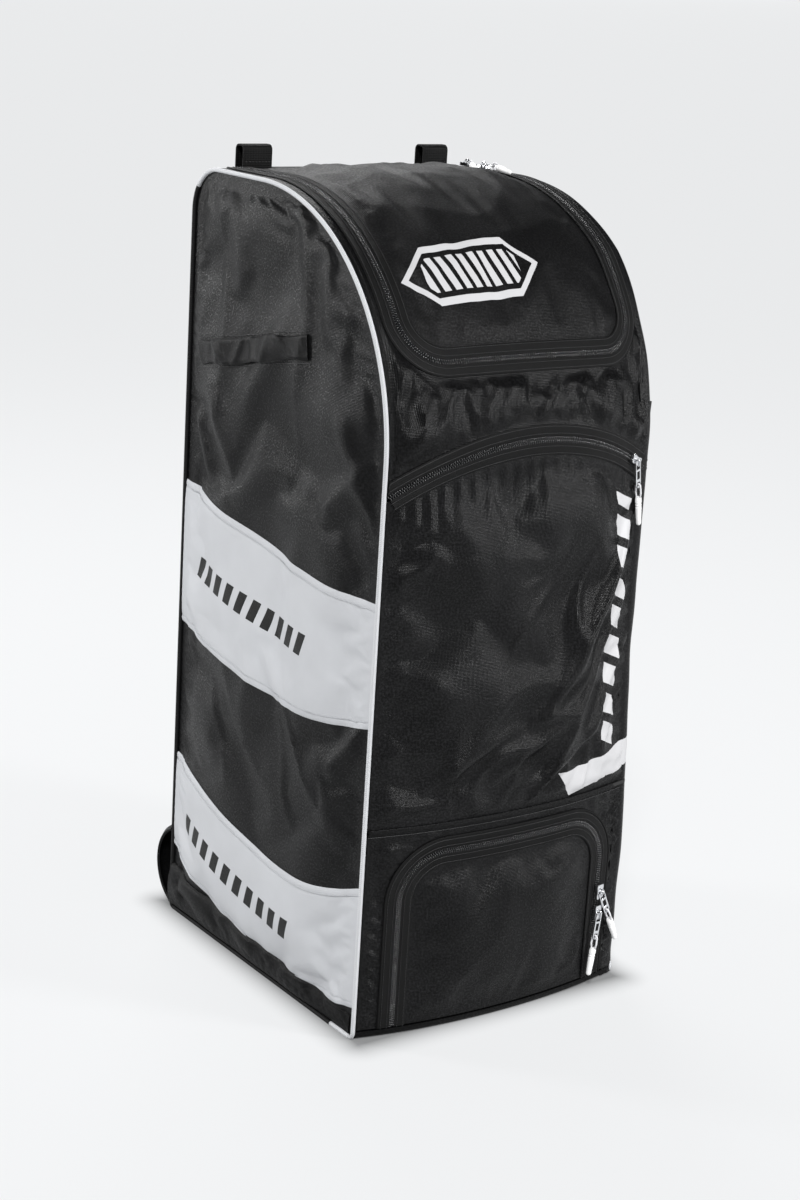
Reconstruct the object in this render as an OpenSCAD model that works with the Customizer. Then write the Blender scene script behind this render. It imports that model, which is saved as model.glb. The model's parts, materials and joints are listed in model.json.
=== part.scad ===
// Upright backpack-style kit bag for sports gear. Millimetres, +Z up, front faces -Y.
// The origin is the middle of the bag's base, on the surface that it stands on.

/* [Body] */
// Width over the two side seams
body_w = 365; // [300:1:440]
// Depth from the front seams to the back panel
body_d = 405; // [340:1:490]
// Height of the flat top above the base
body_h = 900; // [780:1:1080]
// Height at which the front starts to curve back over the top
straight_h = 640; // [560:1:770]
// Radius of the top rear edge
rear_r = 50; // [30:1:70]
// How far the middle of the front stands proud of its side seams
front_bulge = 22; // [10:1:28]
// How far the middle of the lid stands proud where it turns flat
top_bulge = 6; // [0:0.5:10]
// Thickness of the outer walls, fabric and foam
wall = 4; // [3:0.5:6]
// Thickness of the loose inner walls
lining = 2.5; // [1.5:0.5:4]

/* [Piping] */
// Diameter of the piping bead
piping_d = 6; // [4:0.5:8]
// Radius at which the piping turns at the base
base_corner_r = 8; // [6:0.5:14]

/* [Zips] */
// Half-width of the gap between two panels along a zip
zip_gap = 4; // [3:0.5:5]
// Width of each tape
tape_w = 11; // [8:0.5:14]
// Thickness of a tape on its panel
tape_t = 0.8; // [0.6:0.1:1.2]
// Height of the closed teeth
teeth_h = 2; // [1.5:0.1:2.4]

/* [Lid] */
// Half-width of the lid, to the middle of its zip
lid_half_w = 156; // [130:1:160]
// Distance up the front surface to the lid's lower edge
lid_bottom = 740; // [720:1:790]
// Radius of the lid's lower corners
lid_r = 50; // [30:1:70]
// Distance of the lid's hinge line in front of the back panel
lid_hinge_inset = 45; // [40:1:54]

/* [Front pocket] */
// Height of the seam between the lower compartment and the pocket
seam_z = 243; // [236:1:290]
// Height of the pocket's zip at the side seams
arch_z = 605; // [560:1:620]
// Rise of the pocket's zip at its middle
arch_rise = 53; // [40:1:64]
// Half-width of the part of the pocket's front that drops open
face_half_w = 110; // [80:1:125]
// Depth of the pocket at its foot
pocket_depth = 34; // [26:1:50]

/* [Base flap] */
// Half-width of the base flap, to the middle of its zip
flap_half_w = 140; // [110:1:148]
// Height of the top of the base flap's zip
flap_top = 212; // [180:1:214]
// Radius of the base flap's upper corners
flap_r = 55; // [30:1:70]
// Height of the base flap's lower edge
flap_bottom = 12; // [10:0.5:16]

/* [Zip pulls] */
// Length of a slider's body
slider_l = 18; // [15:0.5:19]
// Width of a slider's body
slider_w = 12; // [10:0.5:13]
// Length of a pull tab
tab_l = 32; // [28:0.5:36]
// Width of a pull tab
tab_w = 9.6; // [9.2:0.1:11]
// Thickness of a pull tab
tab_t = 1.4; // [1:0.1:1.6]
// Length of the cord loop's straight legs
loop_l = 14; // [10:0.5:18]
// Length of the moulded grip
grip_l = 30; // [22:0.5:36]
// Radius of the grip's wide end
grip_r = 4.4; // [4.3:0.1:5]
// Distance of the front lid slider in front of the hinge line
lid_front_y = 48; // [38:1:60]
// Distance of the rear lid slider in front of the hinge line
lid_rear_y = 16; // [14:1:17]
// Height of the upper slider of the base flap
flap_upper_z = 118; // [112:1:124]
// Height of the lower slider of the base flap
flap_lower_z = 92; // [84:1:94]
// Distance of the pocket's slider from the middle of the bag
pocket_slider_x = 150; // [135:1:156]

/* [Side bands] */
// Thickness of the sewn-on side bands
band_t = 1; // [0.5:0.1:1.6]
// Height of the upper band's lower edge at the front
upper_band_z = 358; // [330:1:380]
// Height of the upper band at the front
upper_band_h = 136; // [100:1:160]
// Height of the lower band's lower edge at the front
lower_band_z = 38; // [25:1:50]
// Height of the lower band at the front
lower_band_h = 142; // [100:1:160]

/* [Carrying] */
// Width of the hang loops' webbing
hang_w = 38; // [25:1:45]
// Height of the hang loops above the top
hang_h = 25; // [22:1:36]
// Depth of the hang loops, front to back
hang_d = 18; // [15:0.5:20]
// Distance of each hang loop's middle from the middle of the bag
hang_x = 124; // [90:1:128]
// Thickness of all webbing
webbing_t = 2.2; // [1.6:0.1:3]
// Length of a side grab handle
grab_l = 228; // [180:1:250]
// Height of a side grab handle's strip
grab_h = 28; // [22:1:36]
// Finger gap behind a side grab handle
grab_gap = 6; // [5:0.5:12]
// Thickness of a side grab handle's gathered fabric
grab_t = 3; // [2:0.5:4]
// Rise of a side grab handle towards the front, in degrees
grab_tilt = 11; // [0:1:15]
// Height of a side grab handle's middle
grab_z = 716; // [700:1:724]
// Distance of a side grab handle's middle behind the middle of the bag
grab_y = 51; // [30:1:60]
// Distance of a shoulder strap's middle from the middle of the bag
strap_x = 78; // [60:1:95]
// Width of a shoulder strap
strap_w = 60; // [45:1:70]
// Thickness of a shoulder strap
strap_t = 12; // [8:1:14]
// How far a shoulder strap bows out behind the back panel
strap_bow = 52; // [45:1:70]
// Height at which the shoulder straps leave the back panel
strap_top_z = 812; // [790:1:820]
// Height of the padded shoulder straps' lower ends
strap_low_z = 440; // [400:1:460]
// Width of the adjusting webbing
adjuster_w = 25; // [20:1:30]
// Height at which the adjusting webbing is sewn to the back
adjuster_z = 290; // [250:1:320]
// Thickness of the back padding
pad_t = 9; // [5:1:14]

/* [Base] */
// Thickness of the fabric base
base_t = 3; // [2:0.5:5]
// Thickness of the stiffening board in the base
board_t = 6; // [4:0.5:8]
// How far the heel guard stands out behind the back panel
heel_out = 38; // [25:1:45]
// Height of the heel guard
heel_h = 108; // [85:1:120]

/* [Hidden] */
$fn = 32;

half_w = body_w / 2;
front_y = -body_d / 2;
back_y = body_d / 2;
piping_r = piping_d / 2;
piping_inset = 1.5;
panel_half_w = half_w - piping_r - 0.2;
side_outer = half_w - 1.8;
side_inner = side_outer - 3.5;
side_inset = wall + 0.3;
band_inset = piping_inset + piping_r + 0.2;
seat = 0.3;
teeth_gap = 0.25;
tape_lift = 0.3;

// The front crown: a circle in plan when it leans with the pocket's zip
top_r = body_h - straight_h;
arc_l = top_r * PI / 2;
arc_end = straight_h + arc_l;
hinge_y = back_y - lid_hinge_inset;
hinge_s = arc_end + hinge_y - (front_y + top_r);
crown_s = sqrt(front_bulge * front_bulge + arch_rise * arch_rise);
crown_r = (half_w * half_w + crown_s * crown_s) / (2 * crown_s);

// Share of the full bulge at distance x from the middle: 1 at the middle, 0 at the side seams
function crown(x) = (sqrt(crown_r * crown_r - x * x) - (crown_r - crown_s)) / crown_s;
// Bulge in the middle of the bag at distance s up the front surface
function bulge(s) =
  s < straight_h ? front_bulge
  : s < arc_end ? front_bulge + (top_bulge - front_bulge) * (s - straight_h) / arc_l
  : top_bulge * max(0, 1 - (s - arc_end) / (hinge_s - arc_end));
function turn(s) = min(90, max(0, (s - straight_h) / top_r * 180 / PI));
// A point on the front and top surface, pushed out by o
function surf(x, s, o = 0) =
  let (a = turn(s), past = max(0, s - arc_end), low = min(s, straight_h), b = bulge(s) * crown(x) + o)
  [x, front_y + top_r * (1 - cos(a)) + past - cos(a) * b, low + top_r * sin(a) + sin(a) * b];
function unit(v) = v / norm(v);
// Outward direction of the surface at x and s
function outward(x, s) = unit(cross(surf(x + 1, s) - surf(x - 1, s), surf(x, s + 1) - surf(x, s - 1)));

// Height of the pocket's zip, and of the lid's lower edge pushed out by g, at x
function arch(x) = arch_z + arch_rise * crown(x);
function lid_edge(x, g) =
  let (over = abs(x) - (lid_half_w - lid_r), r = lid_r + g)
  over <= 0 ? lid_bottom - g : lid_bottom + lid_r - sqrt(max(0, r * r - over * over));
// Places across half a lid edge pushed out by g, closer together round the corner
function lid_steps(g) = [
  for (i = [0 : 5]) (lid_half_w - lid_r) * i / 5,
  for (a = [15 : 15 : 90]) lid_half_w - lid_r + (lid_r + g) * sin(a)
];
function both_sides(half) = [for (i = [len(half) - 1 : -1 : 1]) -half[i], each half];

// Side view of the bag pulled in by o, as points around it
function arc_points(c, r, a0, a1, n) = [for (i = [0 : n]) c + r * [cos(a0 + (a1 - a0) * i / n), sin(a0 + (a1 - a0) * i / n)]];
function side_outline(o) = concat(
  arc_points([front_y + base_corner_r, base_corner_r], base_corner_r - o, 270, 180, 4),
  arc_points([front_y + top_r, straight_h], top_r - o, 180, 90, 24),
  arc_points([back_y - rear_r, body_h - rear_r], rear_r - o, 90, 0, 8),
  arc_points([back_y - base_corner_r, base_corner_r], base_corner_r - o, 0, -90, 4)
);

// ---- shared shapes ----

// A sheet between two grids of points of the same size
module sheet(outer, inner) {
  rows = len(outer);
  cols = len(outer[0]);
  points = [for (row = outer) each row, for (row = inner) each row];
  function at(i, j, k) = k * rows * cols + i * cols + j;
  faces = [
    for (i = [0 : rows - 2], j = [0 : cols - 2]) each [
      [at(i, j, 0), at(i + 1, j, 0), at(i + 1, j + 1, 0)],
      [at(i, j, 0), at(i + 1, j + 1, 0), at(i, j + 1, 0)],
      [at(i, j, 1), at(i + 1, j + 1, 1), at(i + 1, j, 1)],
      [at(i, j, 1), at(i, j + 1, 1), at(i + 1, j + 1, 1)]
    ],
    for (i = [0 : rows - 2], side = [0, 1]) each (
      let (j = side * (cols - 1), a = at(i, j, 0), b = at(i + 1, j, 0), c = at(i + 1, j, 1), d = at(i, j, 1))
      side == 0 ? [[a, d, c], [a, c, b]] : [[a, b, c], [a, c, d]]
    ),
    for (j = [0 : cols - 2], side = [0, 1]) each (
      let (i = side * (rows - 1), a = at(i, j, 0), b = at(i, j + 1, 0), c = at(i, j + 1, 1), d = at(i, j, 1))
      side == 0 ? [[a, b, c], [a, c, d]] : [[a, d, c], [a, c, b]]
    )
  ];
  polyhedron(points, faces, convexity = 6);
}

// A front or top panel: at each place x across, it runs from low(x) to high(x) up the surface
module front_panel(places, low, high, rows) {
  function grid(o) = [
    for (i = [0 : rows]) [for (x = places) surf(x, low(x) + (high(x) - low(x)) * i / rows, o)]
  ];
  sheet(grid(0), grid(-wall));
}

// A profile swept through rings of points; joined round on itself when closed
module swept(rings, closed = false) {
  n = len(rings[0]);
  count = len(rings);
  last = closed ? count - 1 : count - 2;
  sides = [
    for (i = [0 : last], j = [0 : n - 1])
      let (a = i * n + j, b = i * n + (j + 1) % n, c = (i + 1) % count * n + (j + 1) % n, d = (i + 1) % count * n + j)
      each [[a, b, c], [a, c, d]]
  ];
  caps = closed ? [] : [[for (j = [n - 1 : -1 : 0]) j], [for (j = [0 : n - 1]) (count - 1) * n + j]];
  polyhedron([for (r = rings) each r], concat(sides, caps), convexity = 8);
}

function within(x) = max(-panel_half_w, min(panel_half_w, x));

// Half a zip along a path of [x, s] places; side is 1 or -1 for the side of the path that it lies on
module zip_half(path, side) {
  profile = [
    [teeth_gap, tape_lift], [zip_gap + tape_w, tape_lift], [zip_gap + tape_w, tape_lift + tape_t],
    [zip_gap + 0.2, tape_lift + tape_t], [zip_gap + 0.2, teeth_h], [teeth_gap, teeth_h]
  ];
  last = len(path) - 1;
  function across(i) =
    let (t = unit(path[min(i + 1, last)] - path[max(i - 1, 0)]))
    [-t[1], t[0]] * side;
  rings = [
    for (i = [0 : last])
      let (w = across(i))
      [for (p = profile) surf(within(path[i][0] + w[0] * p[0]), path[i][1] + w[1] * p[0], p[1])]
  ];
  swept(side > 0 ? [for (r = rings) r] : [for (r = rings) [for (k = [len(r) - 1 : -1 : 0]) r[k]]]);
}

// Paths of the three zips
function lid_zip_path() =
  let (
    leg = [for (i = [0 : 26]) [lid_half_w, lid_bottom + lid_r + (hinge_s - 4 - lid_bottom - lid_r) * (1 - i / 26)]],
    corner = [for (a = [75 : -15 : 0]) [lid_half_w - lid_r + lid_r * sin(a), lid_bottom + lid_r * (1 - cos(a))]],
    middle = [for (i = [1 : 7]) [(lid_half_w - lid_r) * (1 - i / 4), lid_bottom]],
    half = concat(leg, corner),
    back = [for (i = [len(half) - 1 : -1 : 0]) [-half[i][0], half[i][1]]]
  )
  concat(half, middle, back);
function arch_path(x0, x1, n) = [for (i = [0 : n]) let (x = x0 + (x1 - x0) * i / n) [x, arch(x)]];
function flap_zip_path() =
  let (
    leg = [for (i = [0 : 3]) [flap_half_w, flap_bottom + (flap_top - flap_r - flap_bottom) * i / 3]],
    corner = [for (a = [15 : 15 : 90]) [flap_half_w - flap_r + flap_r * cos(a), flap_top - flap_r + flap_r * sin(a)]],
    middle = [for (i = [1 : 7]) [(flap_half_w - flap_r) * (1 - i / 4), flap_top]],
    half = concat(leg, corner),
    back = [for (i = [len(half) - 1 : -1 : 0]) [-half[i][0], half[i][1]]]
  )
  concat(half, middle, back);

// Wall of the straight part of the front, between two heights
module front_wall(z0, z1, x0 = -panel_half_w, x1 = panel_half_w) {
  steps = 20;
  places = [for (i = [0 : steps]) x0 + (x1 - x0) * i / steps];
  translate([0, 0, z0])
    linear_extrude(z1 - z0)
      polygon(concat(
        [for (x = places) [x, front_y - front_bulge * crown(x)]],
        [for (i = [steps : -1 : 0]) [places[i], front_y - front_bulge * crown(places[i]) + wall]]
      ));
}

// Solid that fills an outline in the x and z directions, all through the front
module front_cutter(points) {
  translate([0, front_y + wall + 20, 0])
    rotate([90, 0, 0])
      linear_extrude(front_bulge + wall + 60) polygon(points);
}

// Outline of the base flap pushed out by g
function flap_outline(g) = concat(
  [[flap_half_w + g, flap_bottom]],
  arc_points([flap_half_w - flap_r, flap_top - flap_r], flap_r + g, 0, 90, 8),
  arc_points([flap_r - flap_half_w, flap_top - flap_r], flap_r + g, 90, 180, 8),
  [[-flap_half_w - g, flap_bottom]]
);

// A piece seen from the side as points of y and z, as wide as w, with its middle at x
module side_profile(x, w) {
  translate([x - w / 2, 0, 0])
    rotate([90, 0, 90])
      linear_extrude(w) children();
}

// ---- base and shell ----

module base_panel() {
  steps = 20;
  places = [for (i = [0 : steps]) panel_half_w * (2 * i / steps - 1)];
  color("#141416") {
    linear_extrude(base_t)
      polygon(concat(
        [for (x = places) [x, front_y - front_bulge * crown(x)]],
        [[panel_half_w, back_y], [-panel_half_w, back_y]]
      ));
    front_wall(0, flap_bottom - 2.5);
  }
}

module base_board() {
  inset = 14;
  color("#2c2c30")
    translate([inset - half_w, front_y + inset, base_t]) cube([body_w - 2 * inset, body_d - 2 * inset, board_t]);
}

module side_panel(side) {
  color("#17171a")
    translate([side * (side_outer + side_inner) / 2, 0, 0])
      side_profile(0, side_outer - side_inner) polygon(side_outline(side_inset));
}

// Points of a band's edge, from front to back: each height is that at the front plus a rise
function band_edge(z, rises) = [
  for (i = [0 : len(rises) - 1]) [front_y + body_d * i / (len(rises) - 1), z + rises[i]]
];

module side_band(side, low, low_rises, high, high_rises) {
  low_edge = band_edge(low, low_rises);
  high_edge = band_edge(high, high_rises);
  points = concat(low_edge, [for (i = [len(high_edge) - 1 : -1 : 0]) high_edge[i]]);
  color("#c9cacd")
    side_profile(side * (side_outer + band_t / 2), band_t)
      intersection() {
        polygon(points);
        polygon(side_outline(band_inset));
      }
}

module side_band_upper(side) {
  side_band(side, upper_band_z, [0, -12, -15, 0, 10], upper_band_z + upper_band_h, [0, 3, 14, 31, 46]);
}

module side_band_lower(side) {
  side_band(side, lower_band_z, [0, -12, -4, 16, 47], lower_band_z + lower_band_h, [0, -24, -14, 5, 24]);
}

module piping(side) {
  path = side_outline(piping_inset);
  count = len(path);
  rings = [
    for (i = [0 : count - 1])
      let (
        t = unit(path[(i + 1) % count] - path[(i + count - 1) % count]),
        out = [t[1], -t[0]]
      )
      [
        for (k = [0 : 7])
          let (a = 22.5 + 45 * k, r = piping_r, p = path[i] - out * r * cos(a))
          [side * half_w + r * sin(a), p[0], p[1]]
      ]
  ];
  color("#d4d5d8") swept(rings, closed = true);
}

// ---- front ----

module lower_front_surround() {
  color("#131315")
    difference() {
      front_wall(flap_bottom - 2.2, seam_z - 2);
      front_cutter(flap_outline(zip_gap));
      front_cutter([
        [-flap_half_w - zip_gap, 0], [flap_half_w + zip_gap, 0],
        [flap_half_w + zip_gap, flap_bottom + 1], [-flap_half_w - zip_gap, flap_bottom + 1]
      ]);
    }
}

module base_flap() {
  color("#151518")
    intersection() {
      front_wall(flap_bottom, flap_top);
      front_cutter(flap_outline(-zip_gap));
    }
}

module pocket_cheek(side) {
  edge = [for (i = [0 : 6]) face_half_w + 0.3 + (panel_half_w - face_half_w - 0.3) * i / 6];
  color("#151518")
    intersection() {
      front_wall(seam_z + 2.2, arch_z + arch_rise, side > 0 ? edge[0] : -panel_half_w, side > 0 ? panel_half_w : -edge[0]);
      front_cutter(concat(
        [for (x = edge) [side * x, arch(x) - zip_gap - 0.6]],
        [[side * (panel_half_w + 1), seam_z], [side * (edge[0] - 1), seam_z]]
      ));
    }
}

module pocket_face() {
  places = [for (i = [-12 : 12]) face_half_w * i / 12];
  color("#161619")
    front_panel(places, function(x) seam_z + 2.6, function(x) arch(x) - zip_gap - 0.4, 30);
}

// Slanting wall behind the pocket, from the shelf up to the yoke
module pocket_inner_wall() {
  foot_y = front_y + pocket_depth;
  head_s = straight_h + 45;
  head = surf(half_w, head_s, -wall - lining - 1.5);
  color("#2a2a2e")
    side_profile(0, 2 * side_inner - 1)
      polygon([
        [foot_y, seam_z + 2], [foot_y + lining, seam_z + 2],
        [head[1] + lining, head[2]], [head[1], head[2]]
      ]);
}

// Shelf between the two compartments; its front edge closes the seam
module divider_shelf() {
  back_edge = back_y - wall - 8;
  steps = 20;
  places = [for (i = [0 : steps]) (side_inner - 0.4) * (2 * i / steps - 1)];
  color("#2a2a2e")
    translate([0, 0, seam_z - 2])
      linear_extrude(4)
        polygon(concat(
          [for (x = places) [x, front_y - front_bulge * crown(x) + 0.5]],
          [[side_inner - 0.4, back_edge], [0.4 - side_inner, back_edge]]
        ));
}

module yoke_panel() {
  rim = concat(both_sides(lid_steps(zip_gap)), []);
  places = concat([-panel_half_w, -(panel_half_w + lid_half_w + zip_gap) / 2], rim, [(panel_half_w + lid_half_w + zip_gap) / 2, panel_half_w]);
  color("#161619")
    front_panel(places, function(x) arch(x) + zip_gap + 0.4, function(x) min(lid_edge(min(abs(x), lid_half_w + zip_gap), zip_gap), lid_bottom + lid_r), 6);
}

module lid_side_strip(side) {
  inner = lid_half_w + zip_gap;
  places = side > 0 ? [inner, (inner + panel_half_w) / 2, panel_half_w] : [-panel_half_w, -(inner + panel_half_w) / 2, -inner];
  color("#161619")
    front_panel(places, function(x) lid_bottom + lid_r + 0.3, function(x) hinge_s - 0.3, 26);
}

module lid_panel() {
  color("#18181b")
    front_panel(both_sides(lid_steps(-zip_gap)), function(x) lid_edge(x, -zip_gap), function(x) hinge_s - 0.8, 24);
}

// Fixed top behind the lid, turning down into the back
module rear_top_panel() {
  c = [back_y - rear_r, body_h - rear_r];
  start = hinge_y + 0.5;
  flat = start < c[0];
  a = flat ? 90 : acos((start - c[0]) / rear_r);
  color("#151518")
    side_profile(0, 2 * panel_half_w)
      polygon(concat(
        flat ? [[start, body_h]] : [],
        arc_points(c, rear_r, a, 0, 12),
        arc_points(c, rear_r - wall, 0, a, 12),
        flat ? [[start, body_h - wall]] : []
      ));
}

// ---- back ----

module back_panel() {
  color("#141417")
    translate([-panel_half_w, back_y - wall, base_t + 0.2])
      cube([2 * panel_half_w, wall, body_h - rear_r - base_t - 0.2]);
}

module back_board() {
  color("#2c2c30")
    translate([-half_w + 14, back_y - wall - 3.5, base_t + board_t + 1]) cube([body_w - 28, 3, body_h - rear_r - 20]);
}

module back_pad() {
  low = adjuster_z + 85;
  high = strap_top_z - 60;
  half = strap_x + strap_w / 2 + 14;
  r = 22;
  color("#1d1d20")
    translate([0, back_y + seat + pad_t, 0])
      rotate([90, 0, 0])
        linear_extrude(pad_t)
          union() {
            translate([r - half, low]) square([2 * (half - r), high - low]);
            translate([-half, low + r]) square([2 * half, high - low - 2 * r]);
            for (x = [r - half, half - r], z = [low + r, high - r]) translate([x, z]) circle(r);
          }
}

// Curved guard along the foot of the back, hollow inside
module heel_guard() {
  r = (heel_out * heel_out + heel_h * heel_h / 4) / (2 * heel_out);
  c = [back_y + heel_out - r, heel_h / 2 + 1];
  skin = 3.5;
  color("#0f0f11")
    difference() {
      side_profile(0, 2 * panel_half_w - 6)
        intersection() {
          translate(c) circle(r, $fn = 96);
          translate([back_y + seat, 0]) square([heel_out + 1, heel_h + 4]);
        }
      side_profile(0, 2 * panel_half_w - 6 - 2 * skin)
        intersection() {
          translate(c) circle(r - skin, $fn = 96);
          translate([back_y + seat + skin, 0]) square([heel_out + 1, heel_h + 4]);
        }
    }
}

module hang_loop(side) {
  middle = hinge_y + 16;
  outer = hang_d / 2;
  inner = outer - webbing_t;
  bend = 5;
  color("#101012")
    side_profile(side * hang_x, hang_w)
      difference() {
        translate([middle, 0]) {
          translate([-outer, body_h - 30]) square([2 * outer, 30 + hang_h - bend]);
          translate([-outer + bend, body_h]) square([2 * outer - 2 * bend, hang_h]);
          for (y = [bend - outer, outer - bend]) translate([y, body_h + hang_h - bend]) circle(bend);
        }
        translate([middle - inner, body_h - 40]) square([2 * inner, 40 + hang_h - webbing_t]);
        translate([back_y - 2 * rear_r, body_h - rear_r]) square([rear_r, rear_r + seat]);
        translate([back_y - rear_r, body_h - rear_r]) circle(rear_r + seat, $fn = 96);
      }
}

// Gathered strip, sewn down at both ends and standing off in between
module side_handle(side) {
  half = grab_l / 2;
  end = 26;
  ramp = 22;
  off = side_outer + seat;
  lift = [[0, 0], [end, 0], [end + ramp, grab_gap], [grab_l - end - ramp, grab_gap], [grab_l - end, 0], [grab_l, 0]];
  points = concat(
    [for (p = lift) [p[0] - half, p[1]]],
    [for (i = [len(lift) - 1 : -1 : 0]) [lift[i][0] - half, lift[i][1] + grab_t]]
  );
  color("#141416")
    translate([side * off, grab_y, grab_z])
      rotate([-grab_tilt, 0, 0])
        translate([0, 0, -grab_h / 2])
          linear_extrude(grab_h)
            polygon([for (p = points) [side * p[1], p[0]]]);
}

// Middle line of a shoulder strap: an arc behind the back, from its top to its lower end
strap_low_y = back_y + 22;
strap_head = [back_y - 4, strap_top_z];
strap_foot = [strap_low_y, strap_low_z];
strap_chord = norm(strap_foot - strap_head) / 2;
strap_r = (strap_chord * strap_chord + strap_bow * strap_bow) / (2 * strap_bow);
strap_down = unit(strap_foot - strap_head);
strap_out = [-strap_down[1], strap_down[0]];
strap_c = (strap_head + strap_foot) / 2 + strap_out * (strap_bow - strap_r);
strap_half_a = asin(strap_chord / strap_r);
function strap_point(f, o) =
  strap_c + (strap_r + o) * (strap_out * cos(strap_half_a * f) + strap_down * sin(strap_half_a * f));

module shoulder_strap(side) {
  steps = 16;
  color("#1a1a1d")
    side_profile(side * strap_x, strap_w)
      intersection() {
        polygon(concat(
          [for (i = [0 : steps]) strap_point(2 * i / steps - 1, strap_t / 2)],
          [for (i = [steps : -1 : 0]) strap_point(2 * i / steps - 1, -strap_t / 2)]
        ));
        translate([back_y + seat, 0]) square([200, body_h]);
      }
}

// Ladder-lock buckle below a strap: a frame with a bar across its middle
buckle_l = 34;
buckle_t = 6;
buckle_mid = [strap_low_y, strap_low_z - buckle_l / 2 - 3];
module strap_buckle(side) {
  w = adjuster_w + 14;
  bar = 5;
  slot = (buckle_l - 3 * bar) / 2;
  color("#1a1a1c")
    translate([side * strap_x, buckle_mid[0], buckle_mid[1]])
      difference() {
        translate([-w / 2, -buckle_t / 2, -buckle_l / 2]) cube([w, buckle_t, buckle_l]);
        for (z = [bar / 2, -bar / 2 - slot])
          translate([-adjuster_w / 2 - 2, -buckle_t, z]) cube([adjuster_w + 4, 2 * buckle_t, slot]);
      }
}

// Adjusting webbing: round the buckle's lowest bar, then down to its seam on the back
module strap_webbing(side) {
  t = webbing_t;
  bar_z = buckle_mid[1] - buckle_l / 2;
  y = buckle_mid[0];
  outer = buckle_t / 2 + seat + t;
  foot_y = back_y + seat;
  color("#101012")
    side_profile(side * strap_x, adjuster_w)
      polygon([
        [y + outer, bar_z - seat - t], [y + outer, bar_z + 5 + seat + t],
        [y - outer, bar_z + 5 + seat + t], [y - outer, bar_z - 8],
        [foot_y, adjuster_z + 30], [foot_y, adjuster_z], [foot_y + t, adjuster_z],
        [foot_y + t, adjuster_z + 29], [y - outer + t, bar_z - 9],
        [y - outer + t, bar_z + 5 + seat], [y + outer - t, bar_z + 5 + seat], [y + outer - t, bar_z - seat - t]
      ]);
}

// ---- zips ----

module lid_zip_body_half() {
  color("#0d0d0f") zip_half(lid_zip_path(), 1);
}

module lid_zip_lid_half() {
  color("#0d0d0f") zip_half(lid_zip_path(), -1);
}

module pocket_zip_upper_half() {
  color("#0d0d0f") zip_half(arch_path(-panel_half_w + 1, panel_half_w - 1, 36), 1);
}

module pocket_zip_face_half() {
  color("#0d0d0f") zip_half(arch_path(-face_half_w + 0.3, face_half_w - 0.3, 24), -1);
}

module pocket_zip_ends() {
  color("#0d0d0f") {
    zip_half(arch_path(-panel_half_w + 1, -face_half_w - 6, 7), -1);
    zip_half(arch_path(face_half_w + 6, panel_half_w - 1, 7), -1);
  }
}

module flap_zip_body_half() {
  color("#0d0d0f") zip_half(flap_zip_path(), -1);
}

module flap_zip_flap_half() {
  color("#0d0d0f") zip_half(flap_zip_path(), 1);
}

// ---- zip pulls, each in its own frame: x along the zip to the tab, y across it, z outward ----

bail_reach = 3.2;
bail_r = 0.75;
body_low = teeth_h + 0.9;
body_high = body_low + 4.2;
bar_r = tab_t / 2;
pivot_h = body_high + 0.3 + bar_r;
slot_l = 4;
rim = 3;
loop_r = 3.2;
cord_r = 1.1;

function frame(o, x, z) = let (y = cross(z, x)) [
  [x[0], y[0], z[0], o[0]],
  [x[1], y[1], z[1], o[1]],
  [x[2], y[2], z[2], o[2]],
  [0, 0, 0, 1]
];
// Makes direction t square to the outward direction n
function level(t, n) = unit(t - n * (t * n));
function on_zip(x, s, t) = let (n = outward(x, s)) frame(surf(x, s), level(t, n), n);

function s_at_y(y) = arc_end + y - (front_y + top_r);
lid_front_frame = on_zip(lid_half_w, s_at_y(hinge_y - lid_front_y), [0, -1, 0]);
lid_rear_frame = on_zip(lid_half_w, s_at_y(hinge_y - lid_rear_y), [0, -1, 0]);
arch_s = arch(pocket_slider_x);
pocket_frame = on_zip(
  pocket_slider_x, arch_s,
  surf(pocket_slider_x + 1, arch(pocket_slider_x + 1)) - surf(pocket_slider_x - 1, arch(pocket_slider_x - 1))
);
flap_upper_frame = on_zip(flap_half_w, flap_upper_z, [0, 0, -1]);
flap_lower_frame = on_zip(flap_half_w, flap_lower_z, [0, 0, -1]);

// Turn of each tab on its slider, and droop of its grip, in degrees
lid_front_turn = -14;
lid_rear_turn = -30;
pocket_turn = -54;
flap_upper_turn = 27;
flap_lower_turn = -8;
lying_droop = 5;

module slider_shape() {
  color("#c4c6ca") {
    intersection() {
      translate([-slider_l / 2, -slider_w / 2, body_low]) cube([slider_l, slider_w, body_high - body_low]);
      translate([0, 0, body_low - 1]) cylinder(r = slider_l / 2 + 0.8, h = 8, $fn = 48);
    }
    for (x = [-bail_reach, bail_reach])
      translate([x, 0, body_high - 0.3]) cylinder(r = bail_r, h = pivot_h + bar_r + 0.3 + bail_r - body_high + 0.3);
    translate([-bail_reach, 0, pivot_h + bar_r + 0.3 + bail_r]) {
      rotate([0, 90, 0]) cylinder(r = bail_r, h = 2 * bail_reach);
      sphere(bail_r);
      translate([2 * bail_reach, 0, 0]) sphere(bail_r);
    }
  }
}

// The tab hangs from its crossbar at the origin of this shape
module tab_shape() {
  arm = 1.2;
  window = 10;
  color("#d2d3d6") {
    rotate([90, 0, 0]) cylinder(r = bar_r, h = tab_w, center = true);
    difference() {
      translate([0, -tab_w / 2, -tab_t / 2]) cube([tab_l, tab_w, tab_t]);
      translate([-1, -tab_w / 2 + arm, -tab_t]) cube([window + 1, tab_w - 2 * arm, 2 * tab_t]);
      translate([tab_l - rim - slot_l, -tab_w / 2 + 1.6, -tab_t]) cube([slot_l, tab_w - 3.2, 2 * tab_t]);
    }
    rotate([90, 0, 0])
      translate([0, 0, -tab_w / 2]) {
        cylinder(r = bar_r, h = arm);
        translate([0, 0, tab_w - arm]) cylinder(r = bar_r, h = arm);
      }
  }
}

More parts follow.
